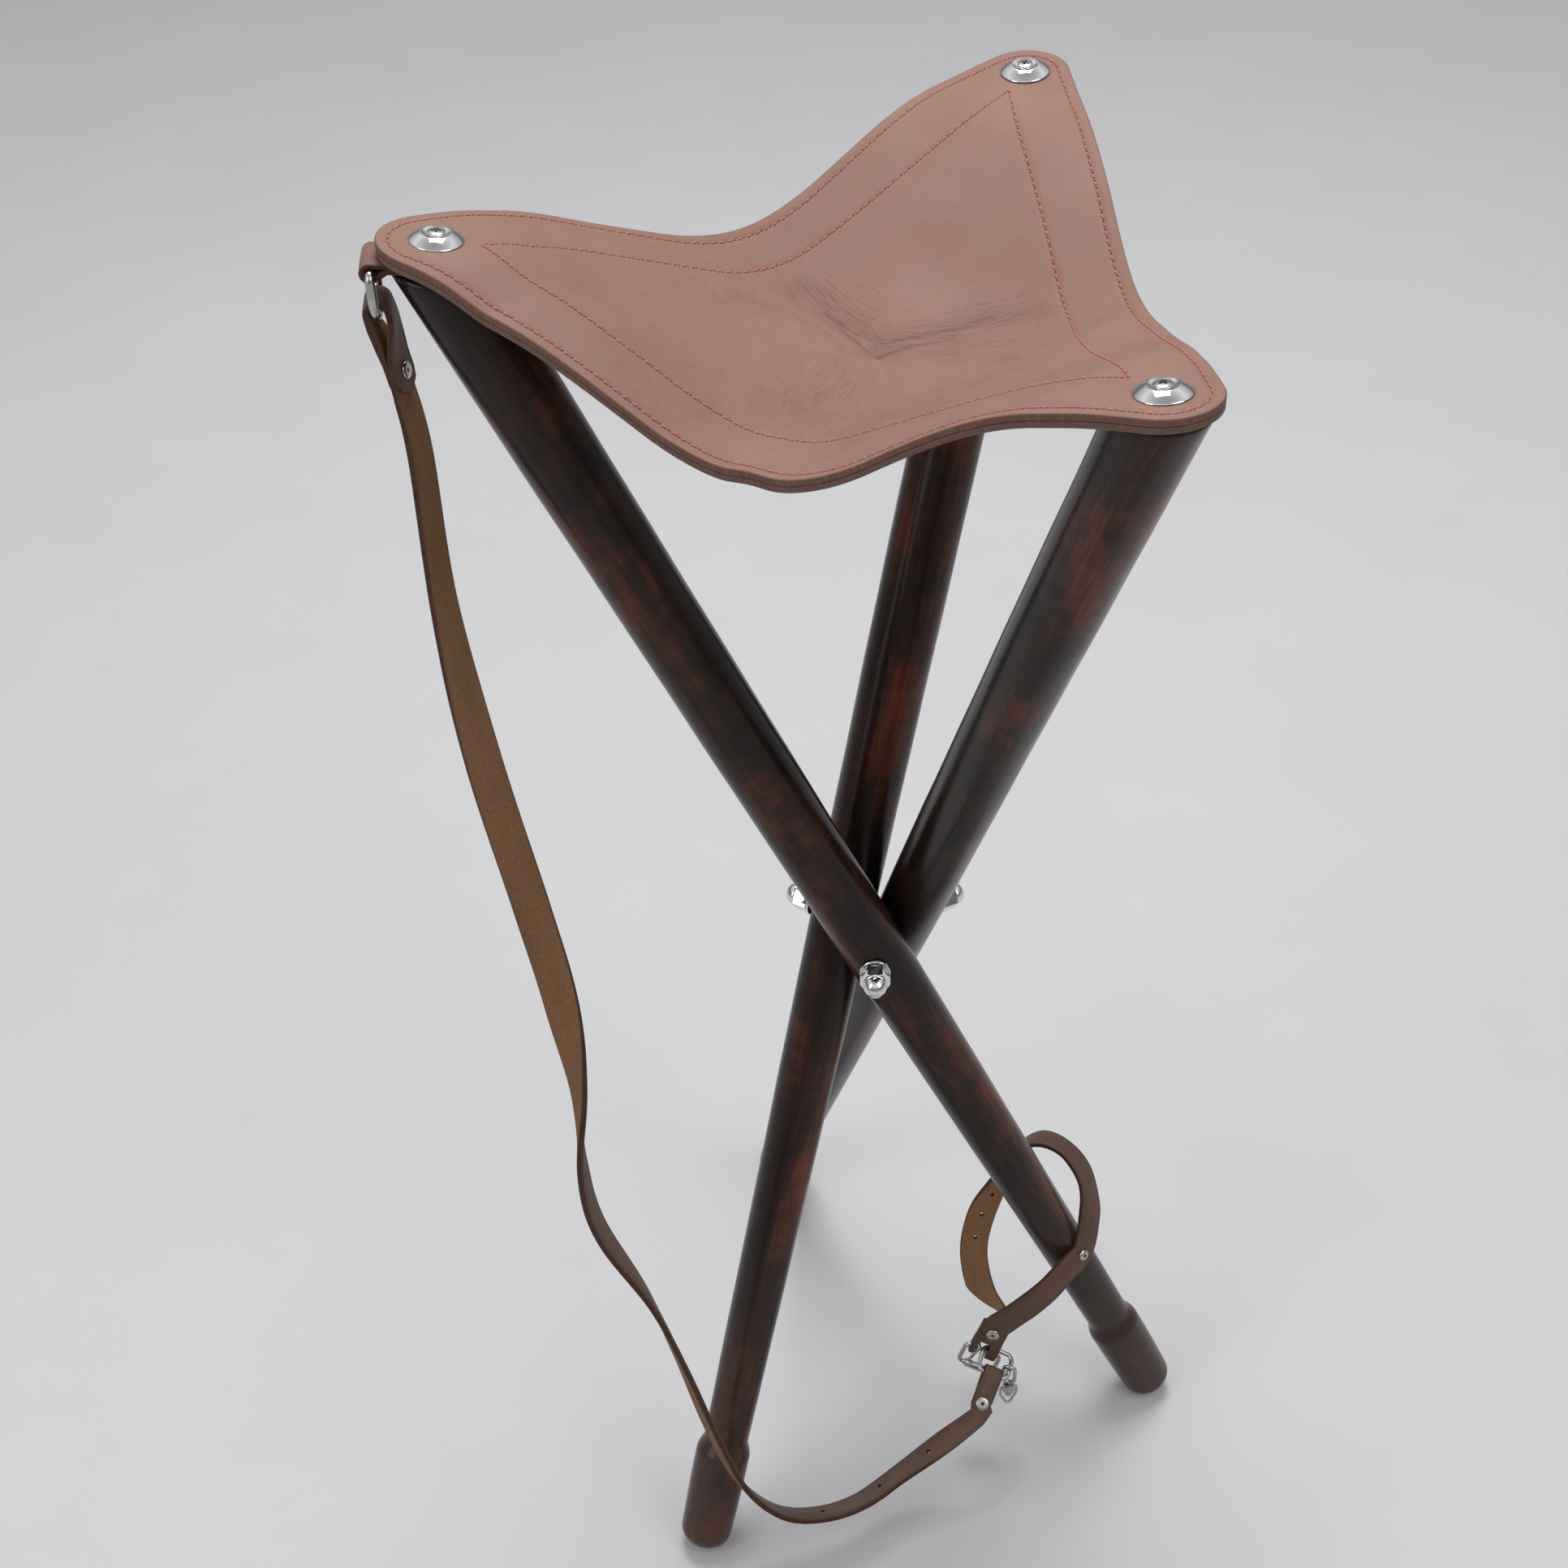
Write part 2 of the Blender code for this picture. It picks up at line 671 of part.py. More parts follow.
def corner_hardware(side, look):
    place = corner_frame(side)
    hole = SHANK_RADIUS + 2 * GAP
    sink = CUP_LIP_RADIUS - 2 * GAP
    cup = [
        (hole, GAP),
        (CUP_RADIUS, GAP),
        (CUP_RADIUS, CUP_HEIGHT * 0.22),
        (CUP_RADIUS * 0.93, CUP_HEIGHT * 0.52),
        (CUP_RADIUS * 0.80, CUP_HEIGHT * 0.82),
        (CUP_RADIUS * 0.66, CUP_HEIGHT * 0.98),
        (CUP_LIP_RADIUS, CUP_HEIGHT),
        (sink, CUP_HEIGHT - GAP),
        (hole, CUP_HEIGHT * 0.4),
    ]
    add("cup_washer_" + side, turned(cup, CUP_SIDES), look, place)
    screw = [
        (0, -SCREW_LENGTH),
        (SHANK_RADIUS * 0.4, -SCREW_LENGTH * 0.93),
        (SHANK_RADIUS, -SCREW_LENGTH * 0.78),
        (SHANK_RADIUS, CUP_HEIGHT * 0.4),
        (HEAD_RADIUS, HEAD_EDGE_HEIGHT - GAP),
        (HEAD_RADIUS, HEAD_EDGE_HEIGHT),
        (HEAD_RADIUS * 0.75, HEAD_EDGE_HEIGHT + HEAD_RISE * 0.5),
        (HEAD_RADIUS * 0.4, HEAD_EDGE_HEIGHT + HEAD_RISE * 0.88),
        (0, HEAD_EDGE_HEIGHT + HEAD_RISE),
    ]
    item = add("seat_screw_" + side, turned(screw, SMALL_SIDES), look, place)
    cross_recess(item, HEAD_EDGE_HEIGHT + HEAD_RISE, HEAD_RADIUS * 1.15)


def tab_frame():
    """On the left leg's sawn top: X outwards, Z up through the tab."""
    return frame(leg_top("left"), corner_direction("left"), corner_normal("left"))


def d_bar():
    """Middle of the D-ring's bar and the direction along it."""
    bend = D_WIRE + GAP
    height = 2 * GAP + TAB_LEATHER - bend
    point = tab_frame() @ Vector((D_BAR_OUT, 0, height))
    return point, corner_direction("left").cross(UP)


def ring_tab(look):
    low = GAP + TAB_LEATHER / 2
    high = low + GAP + TAB_LEATHER
    bend = D_WIRE + GAP + TAB_LEATHER / 2
    middle = high - bend
    x = Vector((1, 0, 0))
    z = Vector((0, 0, 1))
    path = [-TAB_INNER * x + low * z, TAB_FLAT * x + low * z]
    path.extend(arc(D_BAR_OUT * x + middle * z, x, z, bend, -TAB_WRAP, 90, 10))
    path.extend((TAB_FLAT * x + high * z, -TAB_INNER * x + high * z))
    edges = [Vector((0, 1, 0))] * len(path)
    rings = strap_rings(path, edges, [TAB_WIDTH] * len(path), TAB_LEATHER)
    item = add("ring_tab", skin(rings), look, tab_frame())
    hole = rod(SHANK_RADIUS + GAP, -SCREW_LENGTH, SCREW_LENGTH)
    carve(item, hole, tab_frame().inverted() @ corner_frame("left"))


def d_ring(look):
    """Hangs straight down from its bar; its origin is on the bar."""
    point, along = d_bar()
    x = Vector((1, 0, 0))
    z = Vector((0, 0, 1))
    corner = x * (D_HALF_WIDTH - D_CORNER)
    path = arc(corner - z * D_CORNER, x, z, D_CORNER, 90, 0, 4)
    path.extend(arc(-D_SIDE * z, x, z, D_HALF_WIDTH, 0, -180, 18))
    path.extend(arc(-corner - z * D_CORNER, x, z, D_CORNER, 180, 90, 4))
    add("d_ring", wire(path, D_WIRE, Vector((0, 1, 0)), closed=True), look, frame(point, along, UP))


def top_fold():
    """Middle of the carrying strap's upper fold and its width, inward and hanging directions."""
    point, along = d_bar()
    half = CARRY_WIDTH / 2
    rise = D_HALF_WIDTH - math.sqrt(D_HALF_WIDTH ** 2 - half ** 2)
    steep = D_HALF_WIDTH / math.sqrt(D_HALF_WIDTH ** 2 - half ** 2)
    inner = CARRY_FOLD
    drop = D_SIDE + D_HALF_WIDTH - rise - D_WIRE * steep - GAP + inner
    hang = (CARRY_HANG - CARRY_HANG.dot(along) * along).normalized()
    inward = hang.cross(along)
    return point - drop * UP, along, inward, hang


def fold_points(middle, a, b, inner, wide, settle, end):
    """Fold round a bar: one layer at +a, over the bend at +b, the other at -a."""
    bend = inner + STRAP_LEATHER / 2
    near = STRAP_LEATHER / 2 + GAP / 2
    first = [
        middle + near * a - end * b,
        middle + near * a - (settle + end) / 2 * b,
        middle + near * a - settle * b,
        middle + (near + bend) / 2 * a - (settle + wide) / 2 * b,
        middle + bend * a - wide * b,
    ]
    other = [p - 2 * (p - middle).dot(a) * a for p in reversed(first)]
    return first + arc(middle, a, b, bend, 0, 180, 8) + other


def turn_sides(route):
    """Side direction of the strap at each point, from its turn about its own line."""
    points = [Vector(row[:3]) for row in route]
    sides = []
    for row, along in zip(route, directions(points)):
        level = TURN_FROM.cross(along).normalized()
        facing = along.cross(level)
        turn = math.radians(row[3])
        grain = math.cos(turn) * level - math.sin(turn) * facing
        sides.append(along.cross(grain).normalized())
    return points, sides


def rivet(name, place, layers, look):
    """Tubular rivet through `layers` of leather; its origin is at their middle."""
    half = layers / 2 + GAP
    profile = [
        (RIVET_BORE, -half - RIVET_CAP),
        (RIVET_HEAD * 0.8, -half - RIVET_CAP),
        (RIVET_HEAD, -half - RIVET_CAP * 0.4),
        (RIVET_HEAD, -half),
        (RIVET_SHANK, -half),
        (RIVET_SHANK, half),
        (RIVET_HEAD, half),
        (RIVET_HEAD, half + RIVET_CAP * 0.4),
        (RIVET_HEAD * 0.8, half + RIVET_CAP),
        (RIVET_BORE, half + RIVET_CAP),
    ]
    add(name, turned(profile, RIVET_SIDES), look, place)


def rivet_hole():
    return rod(RIVET_SHANK + GAP, -3 * STRAP_LEATHER, 3 * STRAP_LEATHER)


def hole_at(path, edges, back):
    """Frame of a punched hole `back` metres before the end of the path."""
    run = 0.0
    for i in range(len(path) - 1, 0, -1):
        run += (path[i] - path[i - 1]).length
        if run >= back:
            break
    along = path[i] - path[i - 1]
    return frame((path[i] + path[i - 1]) / 2, along, edges[i].cross(along))


def carry_strap(leather, metal):
    middle, along, inward, hang = top_fold()
    upper = fold_points(middle, inward, -hang, CARRY_FOLD, TOP_WIDE, TOP_SETTLE, TOP_END_DOWN)
    free, free_sides = turn_sides(CARRY_ROUTE)
    bar, f = ring_bar()
    arrive = (ARRIVAL - ARRIVAL.dot(f) * f).normalized()
    face = f.cross(arrive)
    inner = RING_WIRE + 2 * GAP
    lower = fold_points(bar, face, arrive, inner, END_WIDE, END_SETTLE, END_END_BACK)
    points = upper + free + lower
    sides = [-along] * len(upper) + free_sides + [-f] * len(lower)
    path, edges = curve_through(points, sides, STRAP_STEP)
    lower_run = sum((b - a).length for a, b in zip(lower, lower[1:]))
    runs = [0.0]
    for a, b in zip(path, path[1:]):
        runs.append(runs[-1] + (b - a).length)
    widths = []
    for run in runs:
        share = min(1.0, max(0.0, (runs[-1] - lower_run - run) / CARRY_TAPER))
        widths.append(CARRY_END_WIDTH + share * (CARRY_WIDTH - CARRY_END_WIDTH))
    item = add("carry_strap", skin(strap_rings(path, edges, widths, STRAP_LEATHER)), leather)
    layers = 2 * STRAP_LEATHER + GAP
    top = frame(middle + TOP_RIVET_DOWN * hang, along, inward)
    end = frame(bar - END_RIVET_BACK * arrive, f, face)
    carve(item, rivet_hole(), top)
    carve(item, rivet_hole(), end)
    for back in CARRY_HOLES:
        carve(item, rod(HOLE_RADIUS, -STRAP_LEATHER, STRAP_LEATHER, 12), hole_at(path, edges, back))
    rivet("carry_rivet_top", top, layers, metal)
    rivet("carry_rivet_end", end, layers, metal)


def strap_seat():
    """Where the leg strap is screwed to the left leg: X across the leg, Y up it, Z outwards."""
    share = -STRAP_SCREW_AT / (LEG_BELOW - FOOT_LENGTH)
    radius = LEG_PIVOT_RADIUS + share * (LEG_NECK_RADIUS - LEG_PIVOT_RADIUS)
    turn = math.radians(STRAP_SCREW_TURN)
    out = Vector((math.cos(turn), math.sin(turn), 0))
    across = Vector((0, 0, 1)).cross(out)
    point = Vector((0, 0, STRAP_SCREW_AT)) + (radius + GAP + STRAP_LEATHER / 2) * out
    return leg_frame("left") @ frame(point, across, out)


def buckle_axes():
    """Middle of the buckle's bar, along the bar, towards the roller and out of the strap."""
    f = BAR_DIRECTION.normalized()
    g = (BUCKLE_DIRECTION - BUCKLE_DIRECTION.dot(f) * f).normalized()
    return strap_seat() @ FOLD_AT, f, g, g.cross(f)


def ring_axes():
    """Middle of the link ring's back bar, along it and down the ring."""
    bar, f, g, _ = buckle_axes()
    down = (RING_DIRECTION - RING_DIRECTION.dot(f) * f).normalized()
    middle = RING_LEFT + (RING_INNER + 2 * RING_WIRE) / 2
    return bar - RING_BACK * g + middle * f, f, down


def ring_bar():
    """Middle of the link ring's front bar and the direction along it."""
    back, f, down = ring_axes()
    return back + RING_REACH * down, f


def leg_strap(leather, metal):
    seat = strap_seat()
    bar, f, g, out = buckle_axes()
    points = [seat @ Vector(row) for row in LEG_STRAP_ROUTE]
    sides = [Vector(row).normalized() for row in LEG_STRAP_SIDES]
    inner = BUCKLE_WIRE + GAP
    fold = fold_points(bar, out, g, inner, FOLD_WIDE, FOLD_SETTLE, FOLD_END_BACK)
    path, edges = curve_through(points + fold, sides + [-f] * len(fold), STRAP_STEP)
    widths = [LEG_STRAP_WIDTH] * len(path)
    for i, point in enumerate(path):
        run = (point - path[0]).length
        if run > TAIL_POINT:
            break
        widths[i] = LEG_STRAP_WIDTH * (0.3 + 0.7 * math.sqrt(run / TAIL_POINT))
    item = add("leg_strap", skin(strap_rings(path, edges, widths, STRAP_LEATHER)), leather)
    slot = box((SLOT_TO - SLOT_FROM, 2 * SLOT_BACK, 4 * STRAP_LEATHER), ((SLOT_TO + SLOT_FROM) / 2, 0, 0))
    carve(item, slot, frame(bar, f, out))
    rivet_at = frame(bar - FOLD_RIVET_BACK * g, f, out)
    carve(item, rivet_hole(), rivet_at)
    carve(item, rod(STRAP_SCREW_RADIUS + GAP, -STRAP_LEATHER, STRAP_LEATHER), seat)
    for back in TAIL_HOLES:
        place = hole_at(path[::-1], edges[::-1], back)
        carve(item, rod(HOLE_RADIUS, -STRAP_LEATHER, STRAP_LEATHER, 12), place)
    rivet("leg_strap_rivet", rivet_at, 2 * STRAP_LEATHER + GAP, metal)
    low = STRAP_LEATHER / 2 + GAP
    screw = [
        (0, -STRAP_SCREW_LENGTH),
        (STRAP_SCREW_RADIUS, -STRAP_SCREW_LENGTH * 0.8),
        (STRAP_SCREW_RADIUS, low),
        (STRAP_SCREW_HEAD, low),
        (STRAP_SCREW_HEAD * 0.96, low + STRAP_SCREW_RISE * 0.35),
        (STRAP_SCREW_HEAD * 0.6, low + STRAP_SCREW_RISE * 0.85),
        (0, low + STRAP_SCREW_RISE),
    ]
    head = add("leg_strap_screw", turned(screw, SMALL_SIDES), metal, seat)
    cross_recess(head, low + STRAP_SCREW_RISE, STRAP_SCREW_HEAD)


def buckle(look):
    bar, f, g, out = buckle_axes()
    x = Vector((1, 0, 0))
    y = Vector((0, 1, 0))
    z = Vector((0, 0, 1))
    place = Matrix((f, g, f.cross(g))).transposed().to_4x4()
    place.translation = bar
    half = BUCKLE_REACH / 2
    loop = rounded_loop(half * y, x, y, BUCKLE_HALF_WIDTH, half, BUCKLE_CORNER)
    add("buckle_frame", wire(loop, BUCKLE_WIRE, z, closed=True), look, place)
    hole = BUCKLE_WIRE + GAP
    end = ROLLER_LENGTH / 2
    tube = [(hole, -end), (ROLLER_RADIUS, -end), (ROLLER_RADIUS, end), (hole, end)]
    add("buckle_roller", turned(tube, SMALL_SIDES), look, frame(bar + BUCKLE_REACH * g, out, f))
    bend = BUCKLE_WIRE + GAP + PRONG_WIRE
    path = arc(Vector((0, 0, 0)), x, y, bend, -60, 180, 12)
    path.extend((-bend * x - 0.3 * PRONG_LENGTH * y, -bend * x - PRONG_LENGTH * y))
    drop = math.radians(PRONG_DROP)
    down = math.cos(drop) * g - math.sin(drop) * out
    add("buckle_prong", wire(path, PRONG_WIRE, z), look, prong_frame(bar + PRONG_AT * f, f, down))


def prong_frame(point, f, down):
    made = Matrix((f.cross(down), -down, f)).transposed().to_4x4()
    made.translation = point
    return made


def link_ring(look):
    back, f, down = ring_axes()
    half = RING_REACH / 2
    side = RING_INNER / 2 + RING_WIRE
    place = Matrix((f, down, f.cross(down))).transposed().to_4x4()
    place.translation = back
    x = Vector((1, 0, 0))
    y = Vector((0, 1, 0))
    loop = rounded_loop(half * y, x, y, side, half, RING_CORNER)
    add("link_ring", wire(loop, RING_WIRE, UP, closed=True), look, place)


def swivel_hook(look):
    """Eye with its headed stem, a collar that turns on the stem and a wire bail on the collar."""
    back, f, down = ring_axes()
    side = RING_INNER / 2 + RING_WIRE
    hang = back + side * f + EYE_AT * down
    x = Vector((1, 0, 0))
    z = Vector((0, 0, 1))
    y = Vector((0, 1, 0))
    place = frame(hang, f, UP)
    top = RING_WIRE + GAP + EYE_WIRE - EYE_BEND
    low = top - EYE_STRAIGHT
    loop = arc(top * z, x, z, EYE_BEND, 0, 180, 10) + arc(low * z, x, z, EYE_BEND, 180, 360, 10)
    eye = add("hook_eye", wire(loop, EYE_WIRE, y, closed=True), look, place)
    start = low - EYE_BEND
    collar_top = start - EYE_WIRE - GAP
    collar_low = collar_top - COLLAR_HEIGHT
    ball = collar_low - GAP - BALL_RADIUS
    stem = [(0, start), (STEM_RADIUS, start), (STEM_RADIUS, collar_low - GAP)]
    for k in range(1, 6):
        turn = math.radians(30 * k)
        stem.append((BALL_RADIUS * math.sin(turn), ball + BALL_RADIUS * math.cos(turn)))
    stem.append((0, ball - BALL_RADIUS))
    carve(eye, turned(stem, SMALL_SIDES), Matrix.Identity(4), "UNION")
    middle = (collar_top + collar_low) / 2
    half = COLLAR_HEIGHT / 2
    hole = STEM_RADIUS + GAP
    ring = [
        (hole, -half),
        (COLLAR_RADIUS * 0.85, -half),
        (COLLAR_RADIUS, -half * 0.7),
        (COLLAR_RADIUS, half * 0.7),
        (COLLAR_RADIUS * 0.85, half),
        (hole, half),
    ]
    turn = Matrix.Rotation(math.radians(BAIL_TURN), 4, "Z")
    collar_place = place @ Matrix.Translation((0, 0, middle)) @ turn
    collar = add("hook_collar", turned(ring, SMALL_SIDES), look, collar_place)
    for sign in (1, -1):
        socket = rod(BAIL_WIRE + GAP, BAIL_IN - GAP, 2 * COLLAR_RADIUS)
        carve(collar, socket, Matrix.Rotation(sign * math.pi / 2, 4, "Y"))
    corner = 2 * BAIL_WIRE
    out = BAIL_HALF_WIDTH
    path = [BAIL_IN * x]
    path.extend(arc((out - corner) * x - corner * z, x, z, corner, 90, 0, 4))
    path.append(out * x - BAIL_STRAIGHT * z)
    tip = 2 * BAIL_WIRE
    path.extend(arc(-(BAIL_LENGTH - tip) * z, x, z, tip, -25, -155, 6))
    path.append(-out * x - BAIL_STRAIGHT * z)
    path.extend(arc(-(out - corner) * x - corner * z, x, z, corner, 180, 90, 4))
    path.append(-BAIL_IN * x)
    add("hook_bail", wire(path, BAIL_WIRE, y), look, collar_place)


def centre_on_feet(items, hanging):
    """Move the whole so that its box, without the hanging pieces, stands centred on the floor."""
    bpy.context.view_layer.update()
    corners = []
    for item in items:
        if item.type == "MESH" and item.name not in hanging:
            corners.extend(item.matrix_world @ Vector(v.co) for v in item.data.vertices)
    middle = [(min(c[k] for c in corners) + max(c[k] for c in corners)) / 2 for k in range(2)]
    root.location = (-middle[0], -middle[1], -min(c.z for c in corners))


clear_scene()
root = bpy.data.objects.new("stool", None)
bpy.context.scene.collection.objects.link(root)
wood = material("varnished_wood", (0.030, 0.016, 0.011), 0.32)
hide = material("seat_leather", (0.30, 0.165, 0.125), 0.55)
lining = material("lining_leather", (0.22, 0.125, 0.085), 0.75)
strap = material("strap_leather", (0.26, 0.135, 0.09), 0.6)
plated = material("plated_steel", (0.62, 0.61, 0.58), 0.25, 1.0)
for corner in ARM_AZIMUTH:
    leg(corner, wood)
pivot(plated)
seat_layer("seat_leather", 0.0, hide)
seat_layer("seat_lining", LEATHER + GAP, lining)
for corner in ARM_AZIMUTH:
    corner_hardware(corner, plated)
ring_tab(strap)
d_ring(plated)
carry_strap(strap, plated)
leg_strap(strap, plated)
buckle(plated)
link_ring(plated)
swivel_hook(plated)
centre_on_feet(list(bpy.data.objects), ("carry_strap", "carry_rivet_top", "carry_rivet_end"))
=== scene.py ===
import json
from math import cos, pi, radians, sin, sqrt, tan

import bmesh
import bpy
import numpy as np
from mathutils import Matrix, Vector


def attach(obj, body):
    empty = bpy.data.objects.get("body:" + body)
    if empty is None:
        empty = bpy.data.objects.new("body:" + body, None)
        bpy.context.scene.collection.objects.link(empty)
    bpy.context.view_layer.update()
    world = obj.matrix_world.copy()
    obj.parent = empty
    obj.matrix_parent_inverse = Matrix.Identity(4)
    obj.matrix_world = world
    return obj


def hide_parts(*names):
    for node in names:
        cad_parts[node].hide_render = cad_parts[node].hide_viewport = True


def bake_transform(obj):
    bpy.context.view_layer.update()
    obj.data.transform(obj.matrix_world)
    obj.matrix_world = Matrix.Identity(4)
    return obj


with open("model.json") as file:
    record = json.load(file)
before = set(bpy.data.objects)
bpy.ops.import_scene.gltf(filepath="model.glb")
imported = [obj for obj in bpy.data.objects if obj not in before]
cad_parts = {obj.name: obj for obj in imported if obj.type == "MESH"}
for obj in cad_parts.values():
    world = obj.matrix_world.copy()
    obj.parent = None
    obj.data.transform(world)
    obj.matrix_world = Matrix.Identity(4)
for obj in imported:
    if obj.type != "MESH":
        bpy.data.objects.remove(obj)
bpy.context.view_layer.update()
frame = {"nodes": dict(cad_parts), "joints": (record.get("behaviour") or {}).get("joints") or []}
scene = bpy.context.scene
scene.view_settings.view_transform = "Standard"
foldJoint = next(j for j in frame["joints"] if j["name"] == "left_leg_fold")
hub = Vector(foldJoint["pos_m"])  # middle of the three-way bolt
middle = Vector((hub.x, hub.y, 0))  # foot of the tripod's middle line
xAxis, yAxis, up = Vector((1, 0, 0)), Vector((0, 1, 0)), Vector((0, 0, 1))
corners = ("left", "right", "rear")  # in the order of the seat's outline
print("frame loaded:", len(frame["nodes"]), "nodes")

photoCamera = {"position": (0.00226, -0.87985, 1.14044), "yaw": -3.008, "pitch": 38.455, "roll": -2.084,
               "lens": 53.0, "sensor": 36}


def linked(name, data):
    obj = bpy.data.objects.new(name, data)
    scene.collection.objects.link(obj)
    return obj


def makeCamera(sizes):
    yaw, pitch, roll = (radians(sizes[key]) for key in ("yaw", "pitch", "roll"))
    ahead = Vector((sin(yaw) * cos(pitch), cos(yaw) * cos(pitch), -sin(pitch)))
    flat = Vector((cos(yaw), -sin(yaw), 0))
    over = flat.cross(ahead)
    x = cos(roll) * flat + sin(roll) * over
    y = cos(roll) * over - sin(roll) * flat
    data = bpy.data.cameras.new("photoCamera")
    data.lens, data.sensor_width = sizes["lens"], sizes["sensor"]
    place = Matrix((x, y, -ahead)).transposed().to_4x4()
    place.translation = middle + Vector(sizes["position"])
    scene.camera = linked("photoCamera", data)
    scene.camera.matrix_world = place


makeCamera(photoCamera)
print("camera set")


# small helpers for meshes

def meshOf(verts, faces):
    mesh = bpy.data.meshes.new("piece")
    mesh.from_pydata([tuple(v) for v in verts], [], faces)
    return mesh


def outwards(mesh, weld=1e-7):
    work = bmesh.new()
    work.from_mesh(mesh)
    if weld:
        bmesh.ops.remove_doubles(work, verts=work.verts, dist=weld)
    bmesh.ops.recalc_face_normals(work, faces=work.faces)
    work.to_mesh(mesh)
    work.free()
    return mesh


def smooth(mesh, angle=38):
    mesh.shade_smooth()
    mesh.set_sharp_from_angle(angle=radians(angle))
    return mesh


def addPiece(name, mesh, finish):
    mesh.name = name
    mesh.materials.clear()
    mesh.materials.append(finish)
    return linked(name, mesh)


def declare(obj, node, body=None):
    if body:
        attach(obj, body)
    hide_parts(node)
    return obj


def ease(t):
    return t * t * (3 - 2 * t)


def clamp(t):
    return min(1.0, max(0.0, t))


def squareTo(axis, vector):
    return (vector - vector.dot(axis) * axis).normalized()


def placed(origin, across, out):
    z = out.normalized()
    x = squareTo(z, across)
    made = Matrix((x, z.cross(x), z)).transposed().to_4x4()
    made.translation = origin
    return made


def band(a, b, count):  # faces between two closed rows of points
    return [(a + k, a + (k + 1) % count, b + (k + 1) % count, b + k) for k in range(count)]


def ringFaces(low, high, count):  # the same where a row may be a single point
    made = []
    for k in range(count):
        j = k + 1
        ring = (low[k % len(low)], low[j % len(low)], high[j % len(high)], high[k % len(high)])
        made.append(tuple(dict.fromkeys(ring)))
    return made


def prism(loop, ends):  # ends: (scale, height) of the loop's two copies
    count = len(loop)
    verts = [p * scale + height * up for scale, height in ends for p in loop]
    caps = [tuple(range(count)), tuple(range(count, 2 * count))]
    return outwards(meshOf(verts, band(0, count, count) + caps))


def lathe(profile, count):
    verts, rings = [], []
    for radius, height in profile:
        number = count if radius > 0 else 1
        rings.append(range(len(verts), len(verts) + number))
        turns = [2 * pi * k / count for k in range(number)]
        verts.extend((radius * cos(t), radius * sin(t), height) for t in turns)
    pairs = list(zip(rings, rings[1:]))
    if profile[0][0] > 0:
        pairs.append((rings[-1], rings[0]))
    faces = [face for low, high in pairs for face in ringFaces(low, high, count)]
    return outwards(meshOf(verts, faces))


def plug(radius, low, high, count):
    return lathe([(0, low), (radius, low), (radius, high), (0, high)], count)


def headings(points, closed=False):
    last = len(points) - 1
    found = []
    for i in range(len(points)):
        before = points[i - 1] if i > 0 or closed else points[0]
        after = points[(i + 1) % len(points)] if i < last or closed else points[last]
        found.append((after - before).normalized())
    return found


def tube(points, radius, normal, closed=False, count=18):
    verts, faces = [], []
    ways = headings(points, closed)
    for point, along in zip(points, ways):
        side = normal.cross(along).normalized()
        top = along.cross(side)
        for k in range(count):
            turn = 2 * pi * k / count
            verts.append(point + radius * (cos(turn) * side + sin(turn) * top))
    total = len(points)
    for i in range(total if closed else total - 1):
        faces.extend(band(i * count, (i + 1) % total * count, count))
    if not closed:
        for end, way in ((0, -1), (total - 1, 1)):  # a low dome on each cut end
            base, tip = end * count, len(verts)
            verts.append(points[end] + way * 0.35 * radius * ways[end])
            faces.extend((base + k, base + (k + 1) % count, tip) for k in range(count))
    return outwards(meshOf(verts, faces))


def quarter(steps, first=1):  # cosines and sines on the way from 0 to 90 degrees
    turns = [radians(90 * k / steps) for k in range(first, steps + 1)]
    return [(cos(t), sin(t)) for t in turns[:-1]] + [(0, 1)]


def arc(centre, a, b, radius, start, stop, steps):
    turns = [radians(start + (stop - start) * k / steps) for k in range(steps + 1)]
    return [centre + radius * (cos(t) * a + sin(t) * b) for t in turns]


def roundedLoop(centre, a, b, halfA, halfB, corner, steps=9):
    points = []
    for k, (sa, sb) in enumerate(((1, 1), (-1, 1), (-1, -1), (1, -1))):
        turnAt = centre + sa * (halfA - corner) * a + sb * (halfB - corner) * b
        points.extend(arc(turnAt, a, b, corner, 90 * k, 90 * k + 90, steps))
    return points


def evaluated(obj):
    bpy.context.view_layer.update()
    return bpy.data.meshes.new_from_object(obj.evaluated_get(bpy.context.evaluated_depsgraph_get()))


def discard(*objects):
    for obj in objects:
        bpy.data.objects.remove(obj, do_unlink=True)


def carve(mesh, tool, place=None, operation="DIFFERENCE"):
    if place is not None:
        tool.transform(place)
    item, helper = linked("carved", mesh), linked("cutter", tool)
    cut = item.modifiers.new("carve", "BOOLEAN")
    cut.object, cut.operation, cut.solver = helper, operation, "EXACT"
    made = evaluated(item)
    discard(item, helper)
    return made


def setAttribute(mesh, name, kind, values):
    found = mesh.attributes.new(name, kind, "POINT")
    key = "value" if kind == "FLOAT" else "vector"
    found.data.foreach_set(key, np.asarray(values, np.float32).ravel())


# small helpers for node trees

def add(tree, kind, inputs=None, **settings):
    node = tree.nodes.new(kind)
    for key, value in settings.items():
        setattr(node, key, value)
    for key, value in (inputs or {}).items():
        if isinstance(value, bpy.types.NodeSocket):
            tree.links.new(value, node.inputs[key])
        else:
            node.inputs[key].default_value = value
    return node


